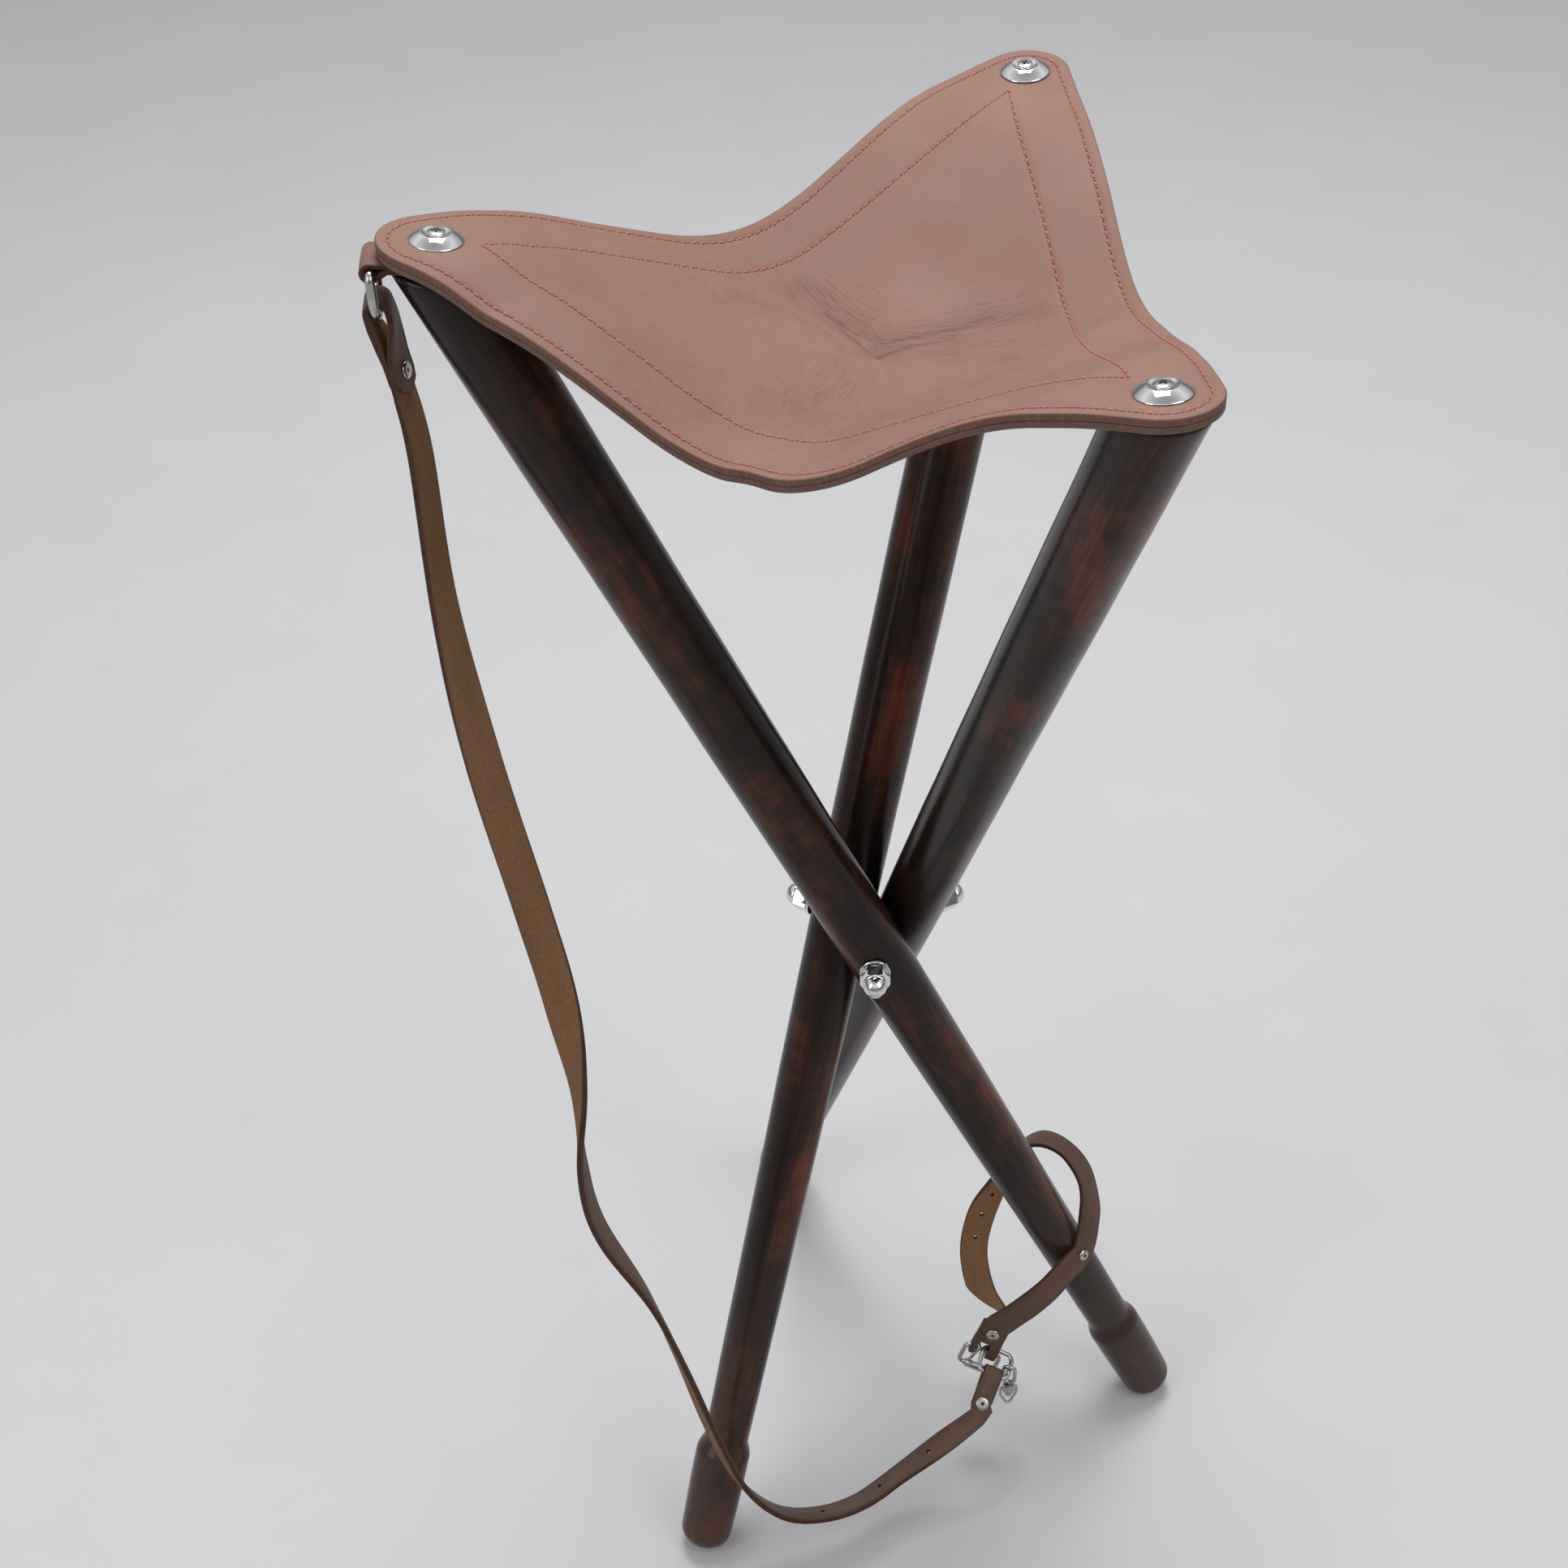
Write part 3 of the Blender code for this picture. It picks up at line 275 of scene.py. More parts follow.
def newTree(name, inputs):
    tree = bpy.data.node_groups.new(name, "GeometryNodeTree")
    tree.interface.new_socket("Geometry", in_out="INPUT", socket_type="NodeSocketGeometry")
    for label, kind in inputs:
        tree.interface.new_socket(label, in_out="INPUT", socket_type="NodeSocket" + kind)
    tree.interface.new_socket("Geometry", in_out="OUTPUT", socket_type="NodeSocketGeometry")
    return tree, tree.nodes.new("NodeGroupInput").outputs


def grow(tree, mesh, values):
    obj = linked("grown", mesh)
    modifier = obj.modifiers.new("grow", "NODES")
    modifier.node_group = tree
    for item in tree.interface.items_tree:
        if item.in_out == "INPUT" and item.name in values:
            modifier[item.identifier] = values[item.name]
    made = evaluated(obj)
    discard(obj)
    return made


def finishNodes(tree, geometry, material):
    real = add(tree, "GeometryNodeRealizeInstances", {"Geometry": geometry})
    dressed = add(tree, "GeometryNodeSetMaterial", {"Geometry": real.outputs[0], "Material": material})
    add(tree, "NodeGroupOutput", {"Geometry": dressed.outputs[0]})


def named(tree, name, kind="FLOAT_VECTOR"):
    return add(tree, "GeometryNodeInputNamedAttribute", {"Name": name}, data_type=kind).outputs[0]


def turnedTo(tree, aim, across):
    turn = add(tree, "FunctionNodeAxesToRotation", {0: aim, 1: across})
    turn.primary_axis, turn.secondary_axis = "Z", "X"
    return turn.outputs[0]


def setterTree():
    tree, given = newTree("setPiece", (("Piece", "Object"), ("Finish", "Material")))
    piece = add(tree, "GeometryNodeObjectInfo", {"Object": given["Piece"]})
    spread = add(tree, "GeometryNodeInstanceOnPoints", {
        "Points": given["Geometry"], "Instance": piece.outputs["Geometry"],
        "Rotation": turnedTo(tree, named(tree, "aim"), named(tree, "across"))})
    finishNodes(tree, spread.outputs[0], given["Finish"])
    return tree


pieceSetter = setterTree()


def setPiece(name, prototype, place, finish):
    point = meshOf([place.translation], [])
    setAttribute(point, "aim", "FLOAT_VECTOR", place.col[2][:3])
    setAttribute(point, "across", "FLOAT_VECTOR", place.col[0][:3])
    pattern = linked("pattern", prototype)
    made = grow(pieceSetter, point, {"Piece": pattern, "Finish": finish})
    discard(pattern)
    return addPiece(name, smooth(made), finish)


def mixColour(tree, factor, a, b, blend="MIX"):
    return add(tree, "ShaderNodeMix", {0: factor, 6: a, 7: b}, data_type="RGBA", blend_type=blend).outputs[2]


def maths(tree, operation, a, b=0.0):
    return add(tree, "ShaderNodeMath", {0: a, 1: b}, operation=operation).outputs[0]


def ramp(tree, factor, stops):
    node = add(tree, "ShaderNodeValToRGB", {0: factor})
    points = node.color_ramp.elements
    while len(points) < len(stops):
        points.new(0.5)
    for point, (at, colour) in zip(points, stops):
        point.position = at
        point.color = colour if len(colour) == 4 else (*colour, 1)
    return node.outputs[0]


def level(value):
    return (value, value, value)


def srgb(red, green, blue):
    channels = [c / 255 for c in (red, green, blue)]
    return tuple(c / 12.92 if c <= 0.04045 else ((c + 0.055) / 1.055) ** 2.4 for c in channels)


def newFinish(name, roughness, metallic=0.0):
    finish = bpy.data.materials.new(name)
    finish.use_nodes = True
    shader = finish.node_tree.nodes["Principled BSDF"]
    shader.inputs["Roughness"].default_value = roughness
    shader.inputs["Metallic"].default_value = metallic
    return finish, finish.node_tree, shader


def bumped(tree, shader, height, distance, strength=1.0, before=None):
    inputs = {"Height": height, "Distance": distance, "Strength": strength}
    if before is not None:
        inputs["Normal"] = before
    node = add(tree, "ShaderNodeBump", inputs)
    tree.links.new(node.outputs[0], shader.inputs["Normal"])
    return node.outputs[0]


def stretched(tree, where, scale):
    return add(tree, "ShaderNodeMapping", {"Vector": where, "Scale": scale}).outputs[0]


def noise(tree, where, scale, detail=4.0, rough=0.55):
    if isinstance(scale, tuple):  # one scale for each axis
        where, scale = stretched(tree, where, scale), 1.0
    inputs = {"Vector": where, "Scale": scale, "Detail": detail, "Roughness": rough}
    return add(tree, "ShaderNodeTexNoise", inputs).outputs["Fac"]


def objectPlace(tree):
    return add(tree, "ShaderNodeTexCoord").outputs["Object"]


def attribute(tree, name, output="Fac"):
    return add(tree, "ShaderNodeAttribute", attribute_name=name).outputs[output]


def paint(tree, shader, colour):
    tree.links.new(colour, shader.inputs["Base Color"])


# finishes

# the last four keys paint light: a paler, greyer foot stands in for the floor's bounce and sheen
woodLook = {"dark": srgb(29, 21, 20), "brown": srgb(50, 31, 26), "red": srgb(104, 50, 33),
            "scar": srgb(140, 92, 66), "paintedFootLight": srgb(96, 78, 71),
            "paintedFootLightFrom": -0.16, "paintedFootLightTo": -0.38, "paintedFootLightMost": 0.4}


def stainedWood(look):
    finish, tree, shader = newFinish("stained_wood", 0.24)
    where = attribute(tree, "legPlace", "Vector")
    height = add(tree, "ShaderNodeSeparateXYZ", {0: where}).outputs["Z"]
    patches = noise(tree, where, (30, 30, 10), 3.0, 0.6)
    curl = noise(tree, where, (45, 45, 170), 2.0, 0.5)
    streaks = noise(tree, where, (420, 420, 9), 5.0, 0.65)
    flecks = noise(tree, where, (900, 900, 60), 2.0, 0.5)
    tone = maths(tree, "ADD", patches, maths(tree, "MULTIPLY", streaks, 0.30))
    tone = maths(tree, "ADD", tone, maths(tree, "MULTIPLY", curl, 0.18))
    base = ramp(tree, tone, ((0.62, look["dark"]), (0.77, look["brown"]), (0.97, look["red"])))
    grain = ramp(tree, flecks, ((0.36, level(0.55)), (0.58, level(1.0))))
    base = mixColour(tree, 0.65, base, grain, "MULTIPLY")
    scars = add(tree, "ShaderNodeTexVoronoi", {
        "Vector": stretched(tree, where, (70, 70, 22)), "Scale": 1.0, "Randomness": 1.0})
    rare = noise(tree, where, 11.0, 2.0)
    mark = maths(tree, "MULTIPLY", ramp(tree, scars.outputs["Distance"], ((0.0, level(1)), (0.045, level(0)))),
                 ramp(tree, rare, ((0.62, level(0)), (0.66, level(1)))))
    base = mixColour(tree, mark, base, (*look["scar"], 1))
    low = add(tree, "ShaderNodeMapRange", {
        0: height, 1: look["paintedFootLightFrom"], 2: look["paintedFootLightTo"], 3: 0.0, 4: look["paintedFootLightMost"]}).outputs[0]
    base = mixColour(tree, low, base, (*look["paintedFootLight"], 1))  # paler and greyer towards the foot: painted light, standing in for the floor's bounce and sheen
    paint(tree, shader, base)
    worn = noise(tree, where, (60, 60, 16), 4.0, 0.6)
    gloss = ramp(tree, worn, ((0.3, level(0.17)), (0.7, level(0.30))))
    tree.links.new(gloss, shader.inputs["Roughness"])
    shader.inputs["Specular IOR Level"].default_value = 0.24
    waves = noise(tree, where, (90, 90, 25), 3.0)
    first = bumped(tree, shader, waves, 0.0006, 0.35)
    bumped(tree, shader, streaks, 0.00015, 0.5, first)
    return finish


# fold is painted shade: it darkens the fine wrinkles, and with some dirt the V crease lines
hideLook = {"base": srgb(143, 111, 98), "light": srgb(149, 118, 105), "deep": srgb(135, 102, 88),
            "fold": srgb(92, 62, 52), "edge": srgb(96, 71, 60), "fibre": srgb(120, 90, 76)}


def seatHide(look):
    finish, tree, shader = newFinish("seat_leather", 0.52)
    where = objectPlace(tree)
    valley = attribute(tree, "valley", "Vector")
    crinkle = attribute(tree, "crinkle")
    rim = attribute(tree, "rim")
    clouds = noise(tree, where, 22.0, 4.0, 0.6)
    mottle = noise(tree, where, 260.0, 4.0, 0.6)
    base = ramp(tree, clouds, ((0.3, look["deep"]), (0.5, look["base"]), (0.72, look["light"])))
    base = mixColour(tree, 0.35, base, ramp(tree, mottle, ((0.3, look["deep"]), (0.7, look["light"]))))
    wrinkles = noise(tree, valley, (110, 800, 1), 3.0, 0.55)
    folds = ramp(tree, wrinkles, ((0.32, level(0)), (0.58, level(1))))
    shade = maths(tree, "MULTIPLY", maths(tree, "SUBTRACT", 1.0, folds), crinkle)
    base = mixColour(tree, maths(tree, "MULTIPLY", shade, 0.14), base, (*look["fold"], 1))
    # the V crease lines darkened: painted shade plus dirt
    crease = attribute(tree, "crease")
    base = mixColour(tree, maths(tree, "MULTIPLY", crease, 0.30), base, (*look["fold"], 1))
    fibres = noise(tree, where, (700, 700, 260), 4.0, 0.7)
    sides = ramp(tree, fibres, ((0.3, look["edge"]), (0.72, look["fibre"])))
    base = mixColour(tree, rim, base, sides)
    paint(tree, shader, base)
    gloss = ramp(tree, mottle, ((0.3, level(0.56)), (0.7, level(0.68))))
    tree.links.new(gloss, shader.inputs["Roughness"])
    shader.inputs["Specular IOR Level"].default_value = 0.2
    pores = add(tree, "ShaderNodeTexVoronoi", {"Vector": where, "Scale": 1500.0, "Randomness": 1.0})
    grain = maths(tree, "ADD", pores.outputs["Distance"], maths(tree, "MULTIPLY", fibres, 0.6))
    first = bumped(tree, shader, grain, 0.00012, 0.35)
    lifted = maths(tree, "MULTIPLY", folds, crinkle)
    bumped(tree, shader, lifted, 0.00035, 0.7, first)
    return finish


liningLook = {"light": srgb(132, 96, 62), "deep": srgb(98, 66, 42), "edge": srgb(92, 67, 57),
              "fibre": srgb(116, 86, 72)}


def suede(look):
    finish, tree, shader = newFinish("lining_leather", 0.85)
    where = objectPlace(tree)
    nap = noise(tree, where, 520.0, 5.0, 0.7)
    clouds = noise(tree, where, 30.0, 3.0)
    tone = maths(tree, "ADD", maths(tree, "MULTIPLY", nap, 0.6), maths(tree, "MULTIPLY", clouds, 0.4))
    rim = attribute(tree, "rim")
    sides = ramp(tree, nap, ((0.3, look["edge"]), (0.7, look["fibre"])))
    base = mixColour(tree, rim, ramp(tree, tone, ((0.35, look["deep"]), (0.65, look["light"]))), sides)
    paint(tree, shader, base)
    shader.inputs["Sheen Weight"].default_value = 0.08
    bumped(tree, shader, nap, 0.0004, 0.7)
    return finish


strapLook = {"grain": srgb(112, 86, 75), "grainDeep": srgb(86, 64, 55), "flesh": srgb(134, 100, 72),
             "fleshDeep": srgb(104, 75, 51), "edge": srgb(82, 50, 38), "edgeDeep": srgb(52, 31, 24)}


def strapHide(name, look):
    finish, tree, shader = newFinish(name, 0.5)
    run = add(tree, "ShaderNodeUVMap", uv_map="run").outputs[0]
    face = add(tree, "ShaderNodeSeparateXYZ", {0: add(tree, "ShaderNodeUVMap", uv_map="face").outputs[0]})
    where = objectPlace(tree)
    pores = noise(tree, where, 900.0, 3.0, 0.6)
    clouds = noise(tree, run, (14, 60, 1), 4.0, 0.6)
    nap = noise(tree, run, (500, 900, 1), 5.0, 0.75)
    grain = ramp(tree, clouds, ((0.3, look["grainDeep"]), (0.68, look["grain"])))
    tone = maths(tree, "ADD", maths(tree, "MULTIPLY", nap, 0.65), maths(tree, "MULTIPLY", clouds, 0.35))
    flesh = ramp(tree, tone, ((0.36, look["fleshDeep"]), (0.62, look["flesh"])))
    edge = ramp(tree, noise(tree, where, 420.0, 4.0, 0.7), ((0.3, look["edgeDeep"]), (0.7, look["edge"])))
    base = mixColour(tree, face.outputs[0], grain, flesh)
    base = mixColour(tree, face.outputs[1], base, edge)
    paint(tree, shader, base)
    rough = maths(tree, "ADD", 0.52, maths(tree, "MULTIPLY", face.outputs[0], 0.38))
    tree.links.new(rough, shader.inputs["Roughness"])
    shader.inputs["Specular IOR Level"].default_value = 0.22
    height = mixColour(tree, face.outputs[0], pores, nap)
    bumped(tree, shader, height, 0.00025, 0.55)
    return finish


def metal(name, tint, low, high, scratch):
    finish, tree, shader = newFinish(name, low, 1.0)
    where = objectPlace(tree)
    haze = noise(tree, where, 160.0, 5.0, 0.65)
    fine = noise(tree, where, (2600, 300, 900), 3.0, 0.6)
    tree.links.new(ramp(tree, haze, ((0.35, level(low)), (0.75, level(high)))), shader.inputs["Roughness"])
    dull = tuple(c * 0.82 for c in tint)
    paint(tree, shader, ramp(tree, haze, ((0.3, tint), (0.8, dull))))
    bumped(tree, shader, fine, 0.00004, scratch)
    return finish


threadLook = {"light": srgb(200, 115, 102), "deep": srgb(168, 88, 77)}


def threadFinish(look):
    finish, tree, shader = newFinish("thread", 0.6)
    where = objectPlace(tree)
    strands = noise(tree, where, 1400.0, 2.0)
    paint(tree, shader, ramp(tree, strands, ((0.35, look["deep"]), (0.6, look["light"]))))
    shader.inputs["Sheen Weight"].default_value = 0.2
    bumped(tree, shader, strands, 0.0002, 0.6)
    return finish


# needle holes are small dark lenses on the leather: their dark colour is painted shade of the holes
def holeFinish():
    finish, tree, shader = newFinish("needle_hole", 0.8)
    where = objectPlace(tree)
    tone = ramp(tree, noise(tree, where, 900.0), ((0.3, srgb(66, 42, 36)), (0.7, srgb(90, 60, 51))))
    paint(tree, shader, tone)
    return finish


wood = stainedWood(woodLook)
hide = seatHide(hideLook)
lining = suede(liningLook)
strapFinish = strapHide("strap_leather", strapLook)
# the leg strap's copy of the strap leather has a paler flesh side: painted light, standing in for front light its
# tongue does not get; its grain is a little darker
legStrapPaintedLightFinish = strapHide("leg_strap_leather", dict(
    strapLook, grain=srgb(104, 78, 67), grainDeep=srgb(80, 58, 50), flesh=srgb(160, 122, 90),
    fleshDeep=srgb(128, 94, 66)))
tabFinish = strapHide("tab_leather", dict(strapLook, grain=srgb(142, 109, 97), grainDeep=srgb(118, 88, 77)))
chrome = metal("chrome", level(0.80), 0.04, 0.12, 0.05)
zinc = metal("zinc_plate", (0.52, 0.51, 0.48), 0.16, 0.34, 0.15)
thread = threadFinish(threadLook)
needleHole = holeFinish()
print("finishes made")


# tripod: each leg turns on one arm of the bolt and leans sideways from it

tripod = {"arms": {"left": -90, "rear": 150, "right": 30}, "lean": 25, "above": 0.415, "below": 0.383,
          "pivotRadius": 0.0158, "spacing": 0.0011, "cornerTilt": 6.5}


def arm(side):
    turn = radians(tripod["arms"][side])
    return Vector((cos(turn), sin(turn), 0))


def legDirection(side):
    tilt = radians(tripod["lean"])
    return cos(tilt) * up + sin(tilt) * arm(side).cross(up)


def armReach():
    across = legDirection("left").cross(legDirection("right")).normalized()
    apart = 2 * tripod["pivotRadius"] + tripod["spacing"]
    return apart / abs((arm("left") - arm("right")).dot(across))


def legFrame(side):
    return placed(hub + armReach() * arm(side), arm(side), legDirection(side))


def legTop(side):
    return legFrame(side) @ Vector((0, 0, tripod["above"]))


def cornerDirection(side):
    top = legTop(side) - middle
    return Vector((top.x, top.y, 0)).normalized()


studReach = (legTop("left") - middle).xy.length
cornerSlope = tan(radians(tripod["cornerTilt"]))


def cornerNormal(side):
    return (up - cornerSlope * cornerDirection(side)).normalized()


# straps

strap = {"leather": 0.0026, "gap": 0.0003, "step": 0.0035, "fade": 0.004, "insetMost": 0.35}


def spline(knots, t):
    a, b, c, d = knots
    return 0.5 * (2 * b + t * (c - a) + t * t * (2 * a - 5 * b + 4 * c - d)
                  + t ** 3 * (3 * b - a - 3 * c + d))


def curveThrough(points, leans, step):
    path, edges = [], []
    last = len(points) - 1
    for i in range(last):
        picks = (max(i - 1, 0), i, i + 1, min(i + 2, last))
        parts = max(1, round((points[i + 1] - points[i]).length / step))
        for k in range(parts):
            path.append(spline([points[p] for p in picks], k / parts))
            edges.append(spline([leans[p] for p in picks], k / parts))
    return path + [points[last].copy()], edges + [leans[last].copy()]


def foldPoints(centre, a, b, inner, wide, settle, end):
    bend = inner + strap["leather"] / 2
    near = strap["leather"] / 2 + strap["gap"] / 2
    places = ((near, end), (near, (settle + end) / 2), (near, settle), ((near + bend) / 2, (settle + wide) / 2),
              (bend, wide))
    first = [centre + side * a - back * b for side, back in places]
    other = [p - 2 * (p - centre).dot(a) * a for p in reversed(first)]
    return first + arc(centre, a, b, bend, 0, 180, 12) + other


def runsOf(path):
    runs = [0.0]
    for a, b in zip(path, path[1:]):
        runs.append(runs[-1] + (b - a).length)
    return runs


# points half round the strap: (share of the half width, inset mm, height share, lift mm, flesh, edge)
grainSide = ((1, 0, 0.30, 0, 0, 1), (1, 0.25, 0.78, 0, 0, 0.6), (1, 0.8, 1, 0, 0, 0.10), (1, 1.5, 1, 0, 0, 0),
             (1, 1.9, 1, -0.22, 0, 0.25), (1, 2.3, 1, 0, 0, 0), (0.45, 0, 1, 0.05, 0, 0), (0, 0, 1, 0.08, 0, 0))
fleshSide = ((-1, 0.05, -0.55, 0, 0.2, 1), (-1, 0.35, -0.95, 0, 0.7, 0.45), (-1, 0.9, -1, 0, 1, 0),
             (-0.4, 0, -1, 0, 1, 0), (0, 0, -1, 0, 1, 0))


def mirrored(rows):
    return rows + tuple((-row[0], *row[1:]) for row in reversed(rows[:-1]))


section = mirrored(grainSide) + mirrored(fleshSide)


def strapMesh(path, edges, high, low, leathers=None):
    halves = [thick / 2 for thick in leathers or [strap["leather"]] * len(path)]
    count = len(section)
    verts, uvRun, uvFace, faces = [], [], [], []
    stations = zip(path, edges, headings(path), runsOf(path), high, low, halves)
    for point, edge, along, run, top, bottom, half in stations:
        grain = edge.cross(along).normalized()
        across = along.cross(grain)
        centre, reach = (top + bottom) / 2, (top - bottom) / 2
        fade = min(1.0, reach / strap["fade"])
        for share, inset, height, raised, flesh, rim in section:
            x = centre + share * reach
            if abs(share) == 1:
                x -= share * min(inset / 1000, strap["insetMost"] * reach)
            verts.append(point + x * across + (height * half + raised / 1000 * fade) * grain)
            uvRun.append((run, x))
            uvFace.append((flesh, rim))
    for i in range(len(path) - 1):
        faces.extend(band(i * count, (i + 1) * count, count))
    faces.extend((tuple(range(count)), tuple(range(len(verts) - count, len(verts)))))
    mesh = meshOf(verts, faces)
    for label, values in (("run", uvRun), ("face", uvFace)):
        layer = mesh.uv_layers.new(name=label)
        for loop, place in zip(mesh.loops, layer.data):
            place.uv = values[loop.vertex_index]
    for face in mesh.polygons[-2:]:  # cut ends show the edge
        for k in face.loop_indices:
            mesh.uv_layers["face"].data[k].uv = (0.1, 1.0)
    return outwards(mesh, weld=0)


def cutEdge(tool):  # what the tool leaves in the leather shows the edge
    for label, value in (("run", (0, 0)), ("face", (0.0, 1.0))):
        layer = tool.uv_layers.new(name=label)
        for corner in layer.data:
            corner.uv = value
    return tool


def punched(mesh, places, radius):
    deep = 2 * strap["leather"]
    for place in places:
        mesh = carve(mesh, cutEdge(plug(radius, -deep, deep, 16)), place)
    return mesh


def holePlace(path, edges, back):
    run = 0.0
    for i in range(len(path) - 1, 0, -1):
        run += (path[i] - path[i - 1]).length
        if run >= back:
            break
    along = path[i] - path[i - 1]
    return placed((path[i] + path[i - 1]) / 2, along, edges[i].cross(along))


# leg strap: screwed across the left leg, its route told from the screw (across, up, out)

legStrap = {"width": 0.016, "screwAt": -0.2485, "screwTurn": 44, "neckRadius": 0.0122, "footLength": 0.066,
            "tipLength": 0.030, "tipWidth": 0.0022, "holeRadius": 0.0013, "holes": (0.066, 0.083, 0.097)}
legStrapRoute = (
    (-0.037, -0.064, -0.071), (-0.035, -0.040, -0.074), (-0.026, -0.012, -0.073), (-0.012, 0.010, -0.067),
    (0.005, 0.027, -0.058), (0.019, 0.044, -0.047), (0.030, 0.051, -0.033), (0.034, 0.045, -0.019),
    (0.031, 0.033, -0.008), (0.0226, 0.021, -0.002), (0.0113, 0.0090, 0.0), (0.0, 0.0, 0.0),
    (-0.0120, 0.001, 0.0), (-0.0260, -0.005, -0.0060), (-0.0390, -0.0110, -0.0150), (-0.0480, -0.0170, -0.0245))
legStrapLeans = (
    (-0.98, -0.10, -0.15), (-1.00, 0.00, 0.00), (-1.00, 0.00, 0.05), (-0.97, 0.05, 0.20), (-0.78, -0.50, 0.37),
    (-0.45, -0.86, 0.25), (-0.43, -0.87, 0.23), (-0.46, -0.82, 0.35), (-0.55, -0.75, 0.38), (-0.54, -0.10, 0.83),
    (-0.54, -0.12, 0.83), (-0.54, -0.12, 0.83), (-0.58, -0.10, 0.80), (-0.70, -0.02, 0.70), (-0.85, 0.06, 0.45),
    (-0.95, 0.12, 0.20))
buckle = {"foldAt": (-0.066, -0.035, -0.0402), "bar": (0.92, -0.20, -0.33), "towards": (-0.36, -0.15, -0.92),
          "wire": 0.0013, "halfWidth": 0.0103, "reach": 0.013, "corner": 0.0025, "rollerRadius": 0.0023,
          "rollerLength": 0.013, "prongWire": 0.001, "prongAt": -0.0036, "prongLength": 0.0155, "prongDrop": 29,
          "foldWide": 0.0050, "foldSettle": 0.0100, "rivetBack": 0.0145, "endBack": 0.0195,
          "slotFrom": -0.0052, "slotTo": 0.0022, "slotBack": 0.0075, "slotCorner": 0.002}
linkRing = {"down": (-0.25, -0.94, -0.21), "wire": 0.0013, "back": 0.0034, "left": -0.0008, "inner": 0.015,
            "reach": 0.015, "corner": 0.004}


def strapSeat():
    share = -legStrap["screwAt"] / (tripod["below"] - legStrap["footLength"])
    radius = tripod["pivotRadius"] + share * (legStrap["neckRadius"] - tripod["pivotRadius"])
    turn = radians(legStrap["screwTurn"])
    out = Vector((cos(turn), sin(turn), 0))
    point = Vector((0, 0, legStrap["screwAt"])) + (radius + strap["gap"] + strap["leather"] / 2) * out
    return legFrame("left") @ placed(point, up.cross(out), out)


def buckleAxes():
    f = Vector(buckle["bar"]).normalized()
    g = squareTo(f, Vector(buckle["towards"]))
    return strapSeat() @ Vector(buckle["foldAt"]), f, g, g.cross(f)


def ringAxes():
    bar, f, g, _ = buckleAxes()
    aside = linkRing["left"] + linkRing["inner"] / 2 + linkRing["wire"]
    return bar - linkRing["back"] * g + aside * f, f, squareTo(f, Vector(linkRing["down"]))


# tab and D-ring at the left corner

tab = {"leather": 0.0022, "width": 0.022, "inner": 0.014, "flat": 0.0205, "wrap": 125, "gap": 0.0003}
dRing = {"barOut": 0.0275, "wire": 0.002, "halfWidth": 0.0135, "side": 0.0085, "corner": 0.0022}


def tabFrame():
    return placed(legTop("left"), cornerDirection("left"), cornerNormal("left"))


def dBar():
    height = 2 * tab["gap"] + tab["leather"] - dRing["wire"] - tab["gap"]
    return tabFrame() @ Vector((dRing["barOut"], 0, height)), cornerDirection("left").cross(up)


# carrying strap: (x, y, z, turn) from the tripod's middle line

carry = {"width": 0.017, "endWidth": 0.011, "taper": 0.070, "fold": 0.0033, "hang": (0.18, -0.05, -0.98),
         "topWide": 0.006, "topSettle": 0.024, "topRivet": 0.030, "topEnd": 0.040, "endWide": 0.003,
         "endSettle": 0.012, "endRivet": 0.017, "endEnd": 0.025, "turnFrom": (0.05, -0.68, 0.73),
         "arrival": (0.30, 0.72, 0.60), "holeRadius": 0.0013, "holes": (0.095, 0.130, 0.165), "round": 0.0075,
         "easing": 0.03, "swell": 0.0005, "swellIn": 0.02, "topTwist": 20, "stillFrom": 0.07, "stillTo": 0.20}
carryRoute = (
    (-0.1920, -0.030, 0.644, -27), (-0.1865, -0.050, 0.579, -34), (-0.1735, -0.075, 0.515, -72),
    (-0.1550, -0.100, 0.448, -93), (-0.1445, -0.115, 0.407, -107), (-0.1384, -0.130, 0.364, -155),
    (-0.1380, -0.145, 0.325, -188), (-0.1320, -0.150, 0.288, -196), (-0.1120, -0.150, 0.236, -180),
    (-0.0993, -0.145, 0.179, -169), (-0.0864, -0.138, 0.108, -164), (-0.0731, -0.137, 0.063, -172),
    (-0.0540, -0.137, 0.0387, -184), (-0.0320, -0.132, 0.0293, -194), (-0.0096, -0.122, 0.0272, -199),
    (0.0131, -0.105, 0.0296, -204))


def topFold():
    point, along = dBar()
    half, wide = carry["width"] / 2, dRing["halfWidth"]
    flank = sqrt(wide ** 2 - half ** 2)
    drop = dRing["side"] + flank - dRing["wire"] * wide / flank - strap["gap"] + carry["fold"]
    hang = squareTo(along, Vector(carry["hang"]))
    return point - drop * up, along, hang.cross(along), hang


def turnedLeans(route):
    points = [middle + Vector(row[:3]) for row in route]
    leans = []
    for row, along in zip(route, headings(points)):
        flat = Vector(carry["turnFrom"]).cross(along).normalized()
        turn = radians(row[3])
        grain = cos(turn) * flat - sin(turn) * along.cross(flat)
        leans.append(along.cross(grain).normalized())
    return points, leans


def roundEnd(run, total, length):
    near = min(run, total - run)
    return 1.0 if near >= length else sqrt(max(0.02, 1 - (1 - near / length) ** 2))


def eased(edges, runs, first, last):
    made = []
    for run, edge in zip(runs, edges):
        reach = min(carry["easing"], run - first, runs[-1] - last - run)
        if reach > 0:
            edge = sum((max(0.0, reach - abs(r - run)) * e for r, e in zip(runs, edges)), Vector()) or edge
        made.append(edge.normalized())
    return made


def twistAt(point, centre, hang):
    share = clamp((point - centre).dot(hang) / carry["topSettle"])
    return Matrix.Rotation(radians(carry["topTwist"]) * ease(share), 3, hang)


